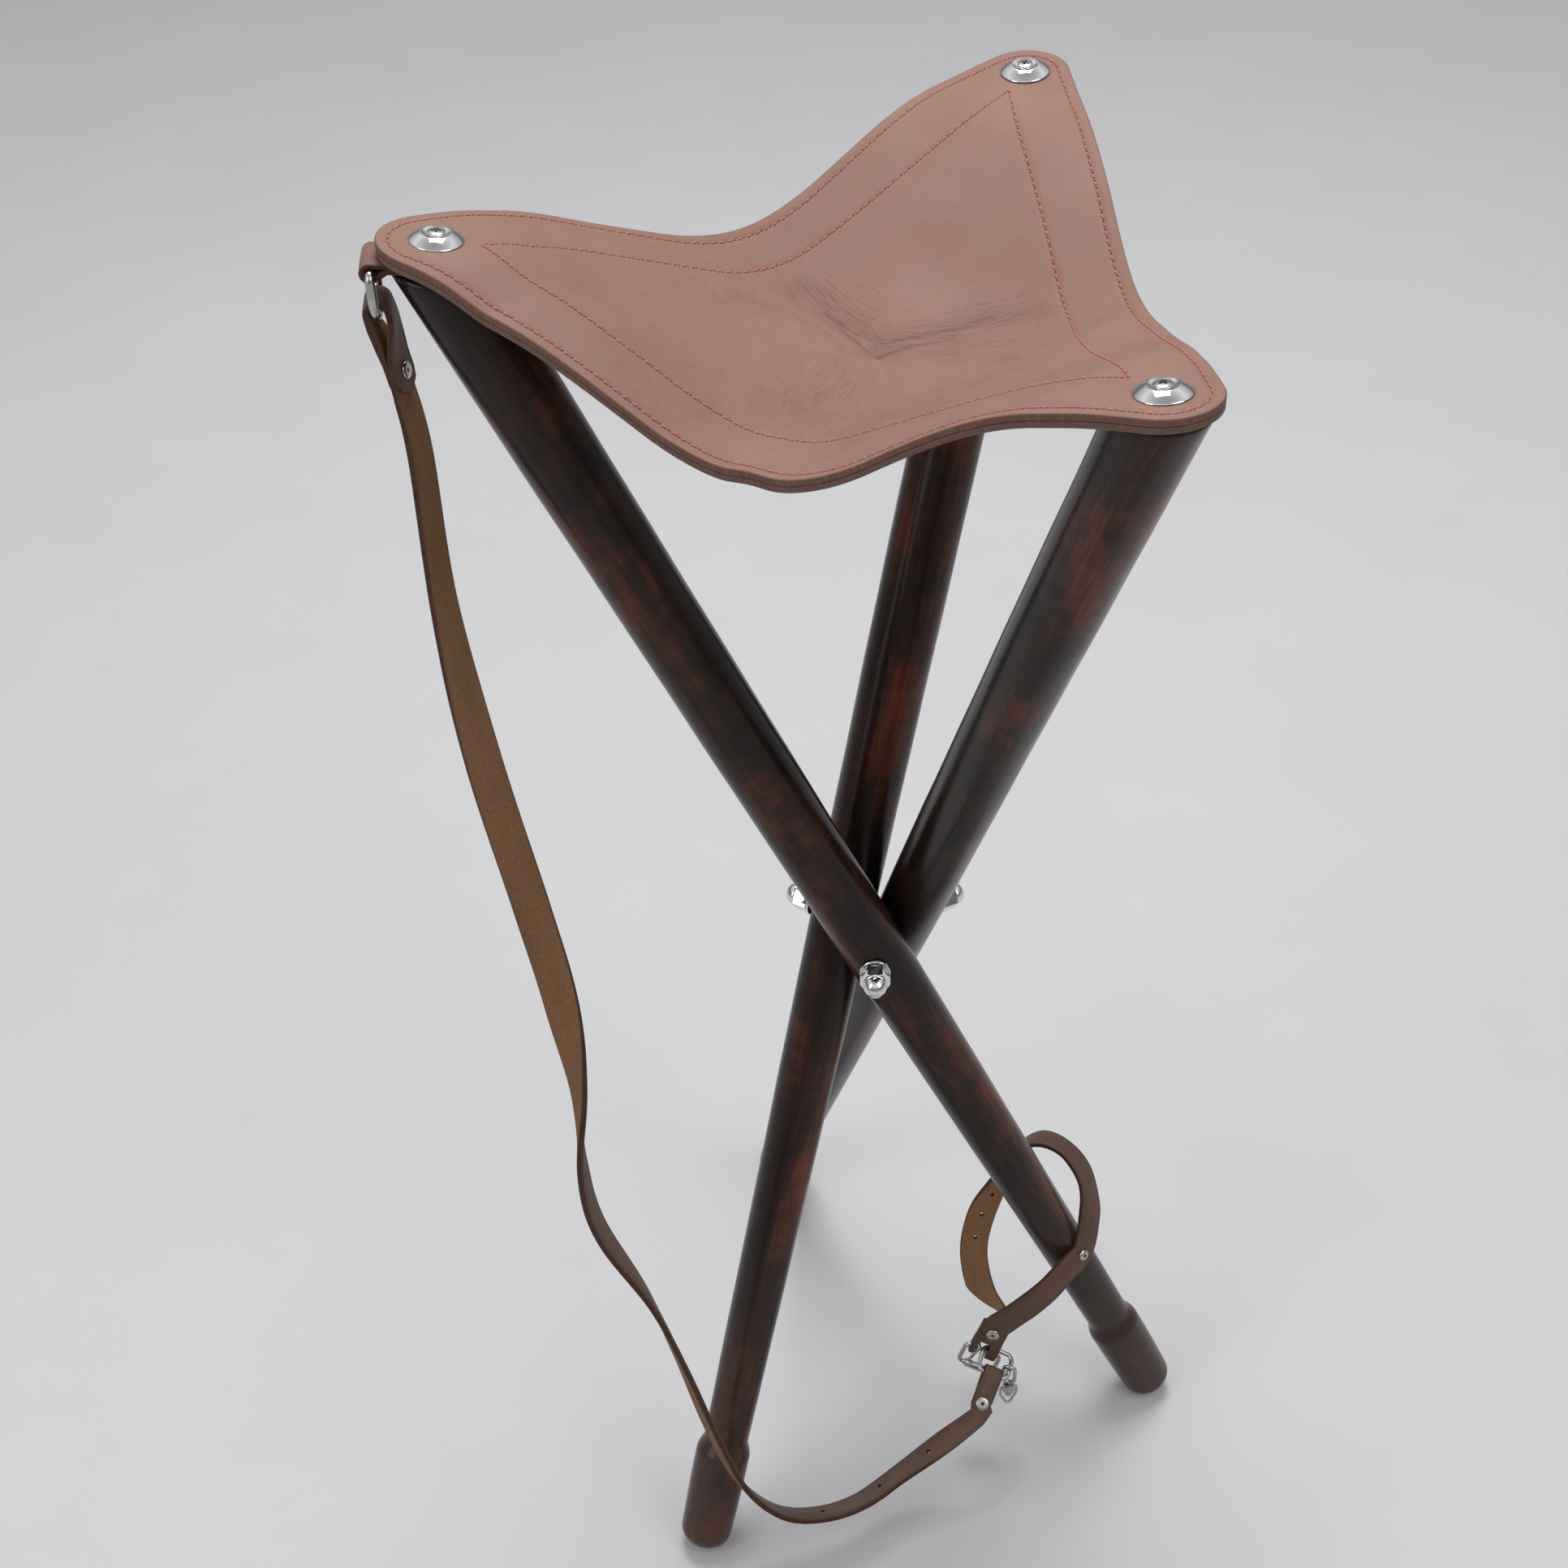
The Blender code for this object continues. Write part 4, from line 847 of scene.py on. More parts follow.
def makeCarryStrap():
    centre, along, inward, hang = topFold()
    upper = foldPoints(centre, inward, -hang, carry["fold"], carry["topWide"], carry["topSettle"], carry["topEnd"])
    twists = [twistAt(point, centre, hang) for point in upper]  # the two layers turn a little below the ring
    upper = [centre + twist @ (point - centre) for twist, point in zip(twists, upper)]
    free, freeLeans = turnedLeans(carryRoute)
    back, f, down = ringAxes()
    bar = back + linkRing["reach"] * down
    arrive = squareTo(f, Vector(carry["arrival"]))
    face = f.cross(arrive)
    lower = foldPoints(bar, face, arrive, linkRing["wire"] + 2 * strap["gap"], carry["endWide"],
                       carry["endSettle"], carry["endEnd"])
    leans = [twist @ along for twist in twists] + [-lean for lean in freeLeans] + [f] * len(lower)
    path, edges = curveThrough(upper + free + lower, leans, strap["step"])
    runs, upperRun, lowerRun = runsOf(path), runsOf(upper)[-1], runsOf(lower)[-1]
    edges = eased(edges, runs, upperRun, lowerRun)
    halves, thick = [], []
    for run in runs:
        toEnd = runs[-1] - lowerRun - run
        width = carry["endWidth"] + clamp(toEnd / carry["taper"]) * (carry["width"] - carry["endWidth"])
        halves.append(width / 2 * roundEnd(run, runs[-1], carry["round"]))
        away = min(run - upperRun, toEnd)  # from the two folds
        thick.append(strap["leather"] + carry["swell"] * clamp(away / carry["swellIn"]))
    mesh = strapMesh(path, edges, halves, [-h for h in halves], thick)
    mesh = punched(mesh, [holePlace(path, edges, back) for back in carry["holes"]], carry["holeRadius"])
    obj = declare(addPiece("carry_strap", smooth(mesh, 50), strapFinish), "carry_strap")
    topRivet = centre + carry["topRivet"] * hang
    twist = twistAt(topRivet, centre, hang)
    rivets = (placed(topRivet, twist @ along, twist @ inward), placed(bar - carry["endRivet"] * arrive, f, face))
    return obj, path, runs[-1], rivets


carryStrap, carryPath, carryLength, carryRivets = makeCarryStrap()
print("carrying strap: %.3f m along the leather" % carryLength)
dBarPoint, dBarAlong = dBar()


def makeLegStrap():
    at = strapSeat()
    bar, f, g, out = buckleAxes()
    points = [at @ Vector(row) for row in legStrapRoute]
    leans = [Vector(row).normalized() for row in legStrapLeans]
    fold = foldPoints(bar, out, g, buckle["wire"] + strap["gap"], buckle["foldWide"], buckle["foldSettle"],
                      buckle["endBack"])
    path, edges = curveThrough(points + fold, leans + [-f] * len(fold), strap["step"])
    half, tip = legStrap["width"] / 2, legStrap["tipWidth"]
    shares = [min(1.0, run / legStrap["tipLength"]) for run in runsOf(path)]
    high = [-half + tip + (2 * half - tip) * share for share in shares]  # the tongue is cut slantwise on one side
    mesh = strapMesh(path, edges, high, [-half] * len(path))
    mesh = punched(mesh, [holePlace(path[::-1], edges[::-1], back) for back in legStrap["holes"]],
                   legStrap["holeRadius"])
    slotWide, slotDeep = buckle["slotTo"] - buckle["slotFrom"], 3 * strap["leather"]
    slot = roundedLoop(Vector(), xAxis, yAxis, slotWide / 2, buckle["slotBack"], buckle["slotCorner"])
    tool = cutEdge(prism(slot, ((1, -slotDeep), (1, slotDeep))))
    mesh = carve(mesh, tool, placed(bar + (buckle["slotTo"] + buckle["slotFrom"]) / 2 * f, f, out))
    declare(addPiece("leg_strap", smooth(mesh, 50), legStrapPaintedLightFinish), "leg_strap", "left_leg")
    return placed(bar - buckle["rivetBack"] * g, f, out)


legStrapRivet = makeLegStrap()
print("leg strap made")


# legs: one turned shape grown on a line, then sawn at the top and flat under the foot

legTurning = {"top": 0.0184, "pivot": 0.0158, "neck": 0.0122, "topRound": 0.003, "foot": 0.015, "footEnd": 0.014,
              "footLength": 0.066, "flare": 0.008, "footRound": 0.009, "sides": 96, "bore": 0.0043, "step": 0.006,
              "axis": 1e-5, "boreHalf": 0.05, "trueTo": 0.03, "leanOver": 0.07, "apart": (0.31, 0.17, 0.0),
              "waves": ((0.004, 31, 2, 1), (0.003, 83, -1, 2))}  # size, along, round, change from leg to leg


def legProfile(sizes):
    bottom, foot, flare = -tripod["below"], sizes["foot"], sizes["flare"]
    footTop, high = bottom + sizes["footLength"], tripod["above"] - sizes["topRound"]
    bulbLow, bulbHigh, neckAt = footTop - 2 * flare, footTop - flare, footTop + flare / 3
    rows = [(sizes["axis"], bottom)]

    def runTo(radius, height, parts, bend=float):
        fromRadius, fromHeight = rows[-1]
        for k in range(1, parts + 1):
            t = k / parts
            rows.append((fromRadius + (radius - fromRadius) * bend(t), fromHeight + (height - fromHeight) * t))

    rounding, flat = sizes["footRound"], sizes["footEnd"] - sizes["footRound"]
    rows.extend((flat + rounding * s, bottom + rounding * (1 - c)) for c, s in quarter(12, 0))
    runTo(foot, bulbLow, 6, lambda t: sin(pi / 2 * t))
    rows.extend(((foot, (bulbLow + bulbHigh) / 2), (foot, bulbHigh)))
    runTo(sizes["neck"], neckAt, 14, ease)
    runTo(sizes["pivot"], 0.0, round(-neckAt / sizes["step"]))
    runTo(sizes["top"], high, round(high / sizes["step"]))
    rounding = sizes["topRound"]
    rows.extend((sizes["top"] - rounding * (1 - c), high + rounding * s) for c, s in quarter(6))
    rows.append((sizes["axis"], tripod["above"]))
    return rows


def turningTree():
    tree, given = newTree("turnLeg", (("Sides", "Int"), ("Finish", "Material")))
    line = add(tree, "GeometryNodeMeshToCurve", {"Mesh": given["Geometry"]})
    round_ = add(tree, "GeometryNodeCurvePrimitiveCircle", {"Resolution": given["Sides"], "Radius": 1.0})
    body = add(tree, "GeometryNodeCurveToMesh", {
        "Curve": line.outputs[0], "Profile Curve": round_.outputs["Curve"],
        "Scale": named(tree, "turned", "FLOAT"), "Fill Caps": True})
    closed = add(tree, "GeometryNodeMergeByDistance", {"Geometry": body.outputs[0], "Distance": 1e-5})
    finishNodes(tree, closed.outputs[0], given["Finish"])
    return tree


legTree = turningTree()


def makeLeg(side, number, sizes):
    rows = legProfile(sizes)
    line = bpy.data.meshes.new("legLine")
    line.from_pydata([(0, 0, h) for _, h in rows], [(k, k + 1) for k in range(len(rows) - 1)], [])
    setAttribute(line, "turned", "FLOAT", [r for r, _ in rows])
    mesh = outwards(grow(legTree, line, {"Sides": sizes["sides"], "Finish": wood}))
    place = legFrame(side)
    cut = place.to_3x3().inverted() @ cornerNormal(side)
    co = np.empty(len(mesh.vertices) * 3)
    mesh.vertices.foreach_get("co", co)
    co = co.reshape(-1, 3)
    turn = np.arctan2(co[:, 1], co[:, 0])
    wave = sum(size * np.sin(along * co[:, 2] + about * turn + change * number)
               for size, along, about, change in sizes["waves"])
    away = np.clip((np.abs(co[:, 2]) - sizes["trueTo"]) / sizes["trueTo"], 0, 1)
    co[:, :2] *= (1 + wave * away)[:, None]  # true near the pivot, where legs pass each other
    lean = ease(np.clip((co[:, 2] - tripod["above"] + sizes["leanOver"]) / sizes["leanOver"], 0, 1))
    grainPlace = co + number * np.array(sizes["apart"])
    co[:, 2] -= lean * (cut.x * co[:, 0] + cut.y * co[:, 1]) / cut.z
    co = co @ np.array(place.to_3x3()).T + np.array(place.translation)
    co[:, 2] = np.maximum(co[:, 2], 0.0)  # worn flat where it stands
    mesh.vertices.foreach_set("co", co.ravel())
    setAttribute(mesh, "legPlace", "FLOAT_VECTOR", grainPlace)
    bore = plug(sizes["bore"], -sizes["boreHalf"], sizes["boreHalf"], 24)
    mesh = carve(mesh, bore, placed(place.translation, up, arm(side)))
    declare(addPiece("leg_" + side, smooth(mesh, 40), wood), "leg_" + side, side + "_leg")


for number, side in enumerate(corners):
    makeLeg(side, number, legTurning)
print("legs turned")


# seat: two leathers slung between the leg tops, measured from the tripod's middle line

seat = {"leather": 0.003, "gap": 0.0003, "depth": 0.056, "liftStart": 0.08, "liftEnd": 0.86, "holdFrom": 0.013,
        "holdTo": 0.044, "sagStart": 0.05, "sagGrowth": 0.10, "edgePower": 1.6, "arcSteps": 30, "edgeSteps": 151,
        "band": 0.009, "bandRings": 16, "innerRings": 140, "ringPower": 0.9, "round": 0.0009, "lowRound": 0.0002,
        "lowRings": 26, "outerStitch": 0.0052, "groove": 0.00042, "grooveWidth": 0.0010, "followFrom": 0.112,
        "followTo": 0.166, "ripple": 0.0005, "valleyWide": 0.030, "dipAt": 0.03, "dipWide": 0.05,
        "crinkleLeast": 0.25, "valleyApart": 0.37, "sheetShare": 0.62, "grooveStep": 0.004}
seatMargin = {"left": 0.0245, "right": 0.0225, "rear": 0.0205}
seatEdges = (("left", "right", 0.0), ("right", "rear", -0.001), ("rear", "left", 0.010))
sags = {  # of each edge, from its first corner: depth, place, width and power of a bell curve
    "left": ((0.025, 0.41, 0.33, 2.6), (-0.002, 0.487, 0.03, 2.0)),
    "right": ((0.007, 0.24, 0.13, 2.0), (-0.005, 0.62, 0.13, 2.0)),
    "rear": ((0.0064, 0.74, 0.13, 2.0), (-0.002, 0.41, 0.08, 2.0))}
innerStitch = (  # mm, from the middle line
    (-157.5, -18.5), (-157.5, -18.5), (-138, -4.3), (-111, 15), (-80.6, 36), (-50, 58), (-23, 76.4), (5.6, 96),
    (29.6, 113), (48.8, 129.7), (62.6, 145), (62.6, 145), (65.2, 117), (69.2, 93), (73.3, 70.6), (76.7, 50),
    (80.3, 25), (83.5, -1), (85, -40), (87, -80), (90, -105), (94, -127), (94, -127), (79, -122), (63, -117),
    (46, -110), (31, -101), (15.6, -90), (1.5, -82), (-12, -77), (-29, -73), (-44, -69), (-58, -64), (-73, -58.5),
    (-88, -52), (-102, -46), (-127, -35), (-143, -28.5))
creases = (  # (depth mm, width mm, points in mm): folds in the dip and along the valleys, ridges below zero
    (0.80, 1.2, ((-21, 37), (-15, 29), (-10, 16), (-4, 5), (3, 0))),
    (0.35, 0.8, ((-15, 30), (-8, 18), (-1, 11), (6, 7))),
    (0.28, 0.9, ((-25, 39), (-18, 26), (-10, 11))),
    (0.65, 1.2, ((3, 0), (12, 4), (22, 8), (35, 12))),
    (0.32, 1.0, ((9, 8), (24, 13), (38, 17), (52, 20))),
    (0.30, 1.0, ((16, 1), (32, 6), (49, 9), (64, 9))),
    (0.20, 1.0, ((25, -2), (41, 1), (58, -1))),
    (0.18, 1.0, ((31, 24), (47, 27), (65, 28))),
    (0.20, 1.1, ((-14, 9), (-13, -5), (-16, -18), (-23, -28))),
    (0.18, 1.1, ((-8, 1), (-10, -14), (-14, -27), (-21, -36))),
    (0.16, 1.1, ((-20, -2), (-20, -17), (-25, -26))),
    (0.14, 1.1, ((-5, -17), (-9, -25), (-15, -34))))
swells = (  # the same for the broad shape: two ridges, the valley between them, its dip, the rear lobe's end
    (-2.4, 5.5, ((-61, 31), (-37, 31), (-25, 25), (-13, 9), (-6, -2))),
    (-2.4, 4.8, ((15, -9), (22, -6), (35, -6), (51, -17), (62, -38))),
    (3.2, 7.5, ((-30, 46), (-15, 29), (-4, 8), (3, 0), (23, 9), (45, 15), (68, 14))),
    (1.6, 7.0, ((2, -1), (4, 1))),
    (-2.0, 11.0, ((13, 50), (8, 20))),
    (-0.9, 3.5, ((-28, -29), (-24, -36))),
    (-0.8, 3.5, ((-12, -24), (-15, -32))),
    (-0.7, 4.0, ((-38, -38), (-33, -46))))
fineCrease = {"each": 14, "start": (0.012, 0.075), "length": (0.012, 0.034), "off": 0.010, "drift": 0.10,
              "wander": 0.0008, "points": 5, "depth": (0.05, 0.14), "sunk": 0.6, "width": (0.8, 1.6), "seed": 5}


def cornerHeight(side):
    stack = 2 * (tab["leather"] + tab["gap"]) if side == "left" else 0.0
    return legTop(side).z + stack + 2 * (seat["leather"] + seat["gap"])


seatLow = cornerHeight("rear") - seat["depth"]


def lift(side, x, y):
    towards = cornerDirection(side)
    out = (towards.x * x + towards.y * y) / studReach
    start, end = seat["liftStart"], seat["liftEnd"]
    rise = cornerHeight(side) - seatLow - cornerSlope * (1 - end) * studReach
    w = np.clip((out - start) / (end - start), 0, 1)
    bent = rise * (3 * w ** 2 - 2 * w ** 3) + cornerSlope * studReach * (end - start) * (w ** 3 - w ** 2)
    return np.where(out >= end, rise + cornerSlope * (out - end) * studReach, bent)


def edgeOut(first, second):
    return (cornerDirection(first) + cornerDirection(second)).normalized()


def heldBack(x, y):
    hold = 1.0
    for side in corners:
        at = cornerDirection(side) * studReach
        away = np.hypot(x - at.x, y - at.y)
        hold = hold * ease(np.clip((away - seat["holdFrom"]) / (seat["holdTo"] - seat["holdFrom"]), 0, 1))
    return hold


def seatHeight(x, y):
    height = seatLow + sum(lift(side, x, y) for side in corners)
    hold = heldBack(x, y)
    for first, second, _ in seatEdges:
        out, run = edgeOut(first, second), cornerDirection(second) - cornerDirection(first)
        t = 0.5 + (run.x * x + run.y * y) / run.length_squared / studReach
        b = np.maximum(0, (out.x * x + out.y * y) / (studReach / 2 + seatMargin[first]))
        w = np.clip((np.minimum(t, 1 - t) + seat["sagStart"]) / seat["sagGrowth"], 0, 1)
        grown = hold * b ** 2 * ease(w)
        for depth, place, width, power in sags[first]:
            height = height - grown * depth * np.exp(-np.abs((t - place) / width) ** power)
    return height


def seatOutline():
    points = []
    for (first, second, hollow), before in zip(seatEdges, (seatEdges[-1], *seatEdges[:-1])):
        start, end = cornerDirection(first) * studReach, cornerDirection(second) * studReach
        lastOut = edgeOut(before[0], before[1])
        points.extend(arc(start, lastOut, up.cross(lastOut), seatMargin[first], 0, 120, seat["arcSteps"]))
        for k in range(1, seat["edgeSteps"] + 1):
            t = k / (seat["edgeSteps"] + 1)
            margin = seatMargin[first] + t * (seatMargin[second] - seatMargin[first])
            bow = margin - hollow * sin(pi * t) ** seat["edgePower"]
            points.append(start.lerp(end, t) + bow * edgeOut(first, second))
    return np.array([(p.x, p.y) for p in points])


outline = seatOutline()
rimOut = np.roll(outline, -1, 0) - np.roll(outline, 1, 0)
rimOut = np.stack((rimOut[:, 1], -rimOut[:, 0]), 1)
rimOut /= np.linalg.norm(rimOut, axis=1)[:, None]
spokes = len(outline)
sideSpan = seat["arcSteps"] + 1 + seat["edgeSteps"]
midSpoke = [k * sideSpan + seat["arcSteps"] + (seat["edgeSteps"] + 1) // 2 for k in range(3)]


def distanceTo(points, x, y, closed=False):
    best = np.full(np.shape(x), 1.0)
    row = list(points) + ([points[0]] if closed else [])
    for (ax, ay), (bx, by) in zip(row, row[1:]):
        dx, dy = bx - ax, by - ay
        t = np.clip(((x - ax) * dx + (y - ay) * dy) / max(dx * dx + dy * dy, 1e-12), 0, 1)
        best = np.minimum(best, np.hypot(x - ax - t * dx, y - ay - t * dy))
    return best


def smoothLine(points, step, closed):
    flat = [Vector((x / 1000, y / 1000, 0)) for x, y in points]
    if closed:
        flat = flat + [flat[0]]
    path, _ = curveThrough(flat, flat, step)
    return np.array([(p.x, p.y) for p in (path[:-1] if closed else path)])


innerLine = smoothLine(innerStitch, seat["grooveStep"], True)
outerLine = outline - seat["outerStitch"] * rimOut
valleys = [edgeOut(first, second) for first, second, _ in seatEdges]


def randomCreases(sizes):
    rng = np.random.default_rng(sizes["seed"])
    steps = np.linspace(0, 1, sizes["points"])
    rows = []
    for out in valleys:
        along = out.cross(up)
        for _ in range(sizes["each"]):
            start, length = rng.uniform(*sizes["start"]), rng.uniform(*sizes["length"])
            off, drift = rng.normal(0, sizes["off"]), rng.normal(0, sizes["drift"])
            wander = off + drift * length * steps + rng.normal(0, sizes["wander"], sizes["points"])
            points = [out * (start + length * t) + along * w for t, w in zip(steps, wander)]
            depth = rng.uniform(*sizes["depth"]) * (1 if rng.random() < sizes["sunk"] else -1)
            rows.append((depth, rng.uniform(*sizes["width"]), [(p.x * 1000, p.y * 1000) for p in points]))
    return rows


fineCreases = list(creases) + randomCreases(fineCrease)


def folded(rows, x, y):
    made = np.zeros(np.shape(x))
    for depth, width, points in rows:
        away = distanceTo([(px / 1000, py / 1000) for px, py in points], x, y)
        made -= depth / 1000 * np.exp(-(away * 1000 / width) ** 2)
    return made


def softWaves(x, y):
    ripple = seat["ripple"] * np.sin(41 * x + 23 * y + 0.7) * np.cos(37 * y - 19 * x)
    return ripple + folded(swells, x, y)


def leatherMarks(x, y):
    made = folded(fineCreases, x, y)
    for line in (innerLine, outerLine[::3]):
        made -= seat["groove"] * np.exp(-(distanceTo(line, x, y, True) / seat["grooveWidth"]) ** 2)
    return made


def seatRings(top, marks):
    rings, rimShare = [], []
    base = outline - seat["band"] * rimOut
    leather = seat["leather"]
    high, low = (seat[key] for key in (("round", "lowRound") if marks else ("lowRound", "round")))

    def addRing(plan, drop, share, marked=False):
        x, y = plan[:, 0], plan[:, 1]
        height = seatHeight(x, y) + softWaves(x, y) - top - drop
        if marked:
            height = height + leatherMarks(x, y)
        rings.append(np.column_stack((x + middle.x, y + middle.y, height)))
        rimShare.append(share)

    for k in range(1, seat["innerRings"]):
        addRing(base * (k / seat["innerRings"]) ** seat["ringPower"], 0.0, 0.0, marks)
    for d in np.linspace(seat["band"], high, seat["bandRings"]):
        addRing(outline - d * rimOut, 0.0, 0.0 if marks or d > 3 * seat["round"] else 1.0, marks)
    for k, (c, s) in enumerate(quarter(6), 1):
        addRing(outline - high * (1 - s) * rimOut, high * (1 - c), min(1.0, k / 4) if marks else 1.0)
    for d in np.linspace(high, leather - low, 5)[1:]:
        addRing(outline, d, 1.0)
    for k, (c, s) in enumerate(quarter(5), 1):
        addRing(outline - low * (1 - c) * rimOut, leather - low * (1 - s), 1 - k / 6 if marks else 1.0)
    for k in range(seat["lowRings"], 0, -1):
        addRing(base * (k / seat["lowRings"]), leather, 0.0)
    return np.stack(rings), rimShare


def seatLayer(node, top, marks, finish):
    grid, rimShare = seatRings(top, marks)
    origin = np.zeros(1)
    centre = float((seatHeight(origin, origin) + softWaves(origin, origin))[0]) - top
    ends = np.array(((middle.x, middle.y, centre), (middle.x, middle.y, centre - seat["leather"])))
    count = len(grid)
    hubTop, hubLow, base = count * spokes, count * spokes + 1, (count - 1) * spokes
    wholeFaces = [face for r in range(count - 1) for face in band(r * spokes, (r + 1) * spokes, spokes)]
    wholeFaces.extend((hubTop, (k + 1) % spokes, k) for k in range(spokes))
    wholeFaces.extend((hubLow, base + k, base + (k + 1) % spokes) for k in range(spokes))
    whole = bpy.data.meshes.new("wholeSeat")
    whole.from_pydata(np.vstack((grid.reshape(-1, 3), ends)).tolist(), [], wholeFaces)
    normals = np.empty(len(whole.vertices) * 3, np.float32)
    whole.vertices.foreach_get("normal", normals)
    normals = normals.reshape(-1, 3)
    upwards = 1.0 if normals[hubTop][2] > 0 else -1.0
    normals = normals * upwards
    made = []
    for k, side in enumerate(corners):
        first, last = midSpoke[(k + 2) % 3], midSpoke[k]
        picks = [(first + i) % spokes for i in range((last - first) % spokes + 1)]
        index = [r * spokes + p for r in range(count) for p in picks] + [hubTop, hubLow]
        mesh = seatSector(grid[:, picks], ends, rimShare, upwards)
        mesh.normals_split_custom_set_from_vertices(normals[index])
        made.append(declare(addPiece(node + "_" + side, mesh, finish), node))
        follow(made[-1], side)
    return made


def seatSector(grid, ends, rimShare, upwards):
    count, span = grid.shape[:2]
    verts = np.vstack((grid.reshape(-1, 3), ends))
    topEnd, lowEnd = count * span, count * span + 1
    faces = []
    for r in range(count - 1):
        for k in range(span - 1):
            a, b = r * span + k, (r + 1) * span + k
            faces.append((a, a + 1, b + 1, b))
    faces.extend((topEnd, k + 1, k) for k in range(span - 1))
    base = (count - 1) * span
    faces.extend((lowEnd, base + k, base + k + 1) for k in range(span - 1))
    faces.append((topEnd, *(r * span for r in range(count)), lowEnd))
    faces.append((lowEnd, *(r * span + span - 1 for r in range(count - 1, -1, -1)), topEnd))
    if upwards < 0:
        faces = [tuple(reversed(f)) for f in faces]
    mesh = bpy.data.meshes.new("seatSector")
    mesh.from_pydata(verts.tolist(), [], faces)
    plan = verts[:, :2] - np.array((middle.x, middle.y))
    flow, weight = valleyPlace(plan)
    setAttribute(mesh, "rim", "FLOAT", np.append(np.repeat(rimShare, span), (0, 0)))
    setAttribute(mesh, "valley", "FLOAT_VECTOR", flow)
    setAttribute(mesh, "crinkle", "FLOAT", weight)
    # crease: how much the V crease lines darken the leather's colour, painted shade plus dirt
    pinched = folded(creases, plan[:, 0], plan[:, 1]) * -1000 / creases[0][0]
    setAttribute(mesh, "crease", "FLOAT", np.clip(pinched, 0, 1))
    mesh.shade_smooth()
    return mesh


def valleyPlace(plan):
    flow = np.zeros((len(plan), 3))
    best = np.full(len(plan), -1.0)
    for number, out in enumerate(valleys):
        u = plan[:, 0] * out.x + plan[:, 1] * out.y
        v = plan[:, 0] * out.y - plan[:, 1] * out.x
        near = u > best
        best = np.where(near, u, best)
        flow[near] = np.column_stack((u, v, np.full(len(u), seat["valleyApart"] * number)))[near]
    across = np.exp(-(flow[:, 1] / seat["valleyWide"]) ** 2)
    dip = np.exp(-((flow[:, 0] - seat["dipAt"]) / seat["dipWide"]) ** 2)
    return flow, across * (seat["crinkleLeast"] + (1 - seat["crinkleLeast"]) * dip)


def follow(obj, side):
    towards = cornerDirection(side)
    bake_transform(obj)


upperParts = seatLayer("seat_leather", 0.0, True, hide)
lowerParts = seatLayer("seat_lining", seat["leather"] + seat["gap"], False, lining)


# stitches grown along each line: thread on both faces, needle holes on the upper one

stitch = {"pitch": 0.0048, "length": 0.0031, "radius": 0.00048, "rise": 0.00030, "hole": (0.0009, 0.0005),
          "slant": 24, "tilt": 9, "seed": 3, "stations": 7, "sides": 6, "probe": 0.0008,
          "lineStep": 0.0012,
          "holeProfile": ((0, -0.0004), (1, -0.0003), (0.85, 0.00012), (0, 0.00020))}


def threadMesh(sizes):
    verts, faces = [], []
    stations, sides = sizes["stations"], sizes["sides"]
    for i in range(stations):
        t = 2 * i / (stations - 1) - 1
        radius = sizes["radius"] * sqrt(max(0.08, 1 - t ** 6))
        height = sizes["rise"] * (1 - 2.2 * t ** 4)
        for k in range(sides):
            turn = 2 * pi * k / sides
            verts.append((t * sizes["length"] / 2, radius * cos(turn), height + radius * sin(turn)))
    for i in range(stations - 1):
        faces.extend(band(i * sides, (i + 1) * sides, sides))
    faces.extend((tuple(range(sides)), tuple(range(len(verts) - sides, len(verts)))))
    mesh = outwards(meshOf(verts, faces))
    mesh.transform(Matrix.Rotation(radians(sizes["tilt"]), 4, "Z"))
    return smooth(mesh, 80)


def holeMesh(sizes):
    mesh = lathe(sizes["holeProfile"], 10)
    long, wide = sizes["hole"]
    mesh.transform(Matrix.Rotation(radians(sizes["slant"]), 4, "Z") @ Matrix.Diagonal((long, wide, 1, 1)))
    return smooth(mesh)


def stitchTree():
    tree, given = newTree("sewLine", (("Pitch", "Float"), ("Phase", "Int"), ("Corner", "Int"), ("Piece", "Object"),
                                      ("Seed", "Int"), ("Finish", "Material")))

    def same(a, b):
        return add(tree, "FunctionNodeCompare", {2: a, 3: b}, data_type="INT", operation="EQUAL").outputs[0]

    line = add(tree, "GeometryNodeMeshToCurve", {"Mesh": given["Geometry"]})
    marks = add(tree, "GeometryNodeResampleCurve", {
        "Curve": line.outputs[0], "Length": maths(tree, "MULTIPLY", given["Pitch"], 0.5)}, mode="LENGTH")
    index = add(tree, "GeometryNodeInputIndex")
    odd = add(tree, "FunctionNodeIntegerMath", {0: index.outputs[0], 1: 2}, operation="MODULO")
    owner = add(tree, "FunctionNodeFloatToInt", {0: named(tree, "corner", "FLOAT")}, rounding_mode="ROUND")
    mine = add(tree, "FunctionNodeBooleanMath", {
        0: same(odd.outputs[0], given["Phase"]), 1: same(owner.outputs[0], given["Corner"])}, operation="AND")
    along = add(tree, "GeometryNodeInputTangent")
    piece = add(tree, "GeometryNodeObjectInfo", {"Object": given["Piece"]})
    vary = add(tree, "FunctionNodeRandomValue", {2: 0.92, 3: 1.06, "Seed": given["Seed"]}, data_type="FLOAT")
    spread = add(tree, "GeometryNodeInstanceOnPoints", {
        "Points": marks.outputs[0], "Selection": mine.outputs[0], "Instance": piece.outputs["Geometry"],
        "Rotation": turnedTo(tree, named(tree, "lie"), along.outputs[0]), "Scale": vary.outputs[1]})
    finishNodes(tree, spread.outputs[0], given["Finish"])
    return tree


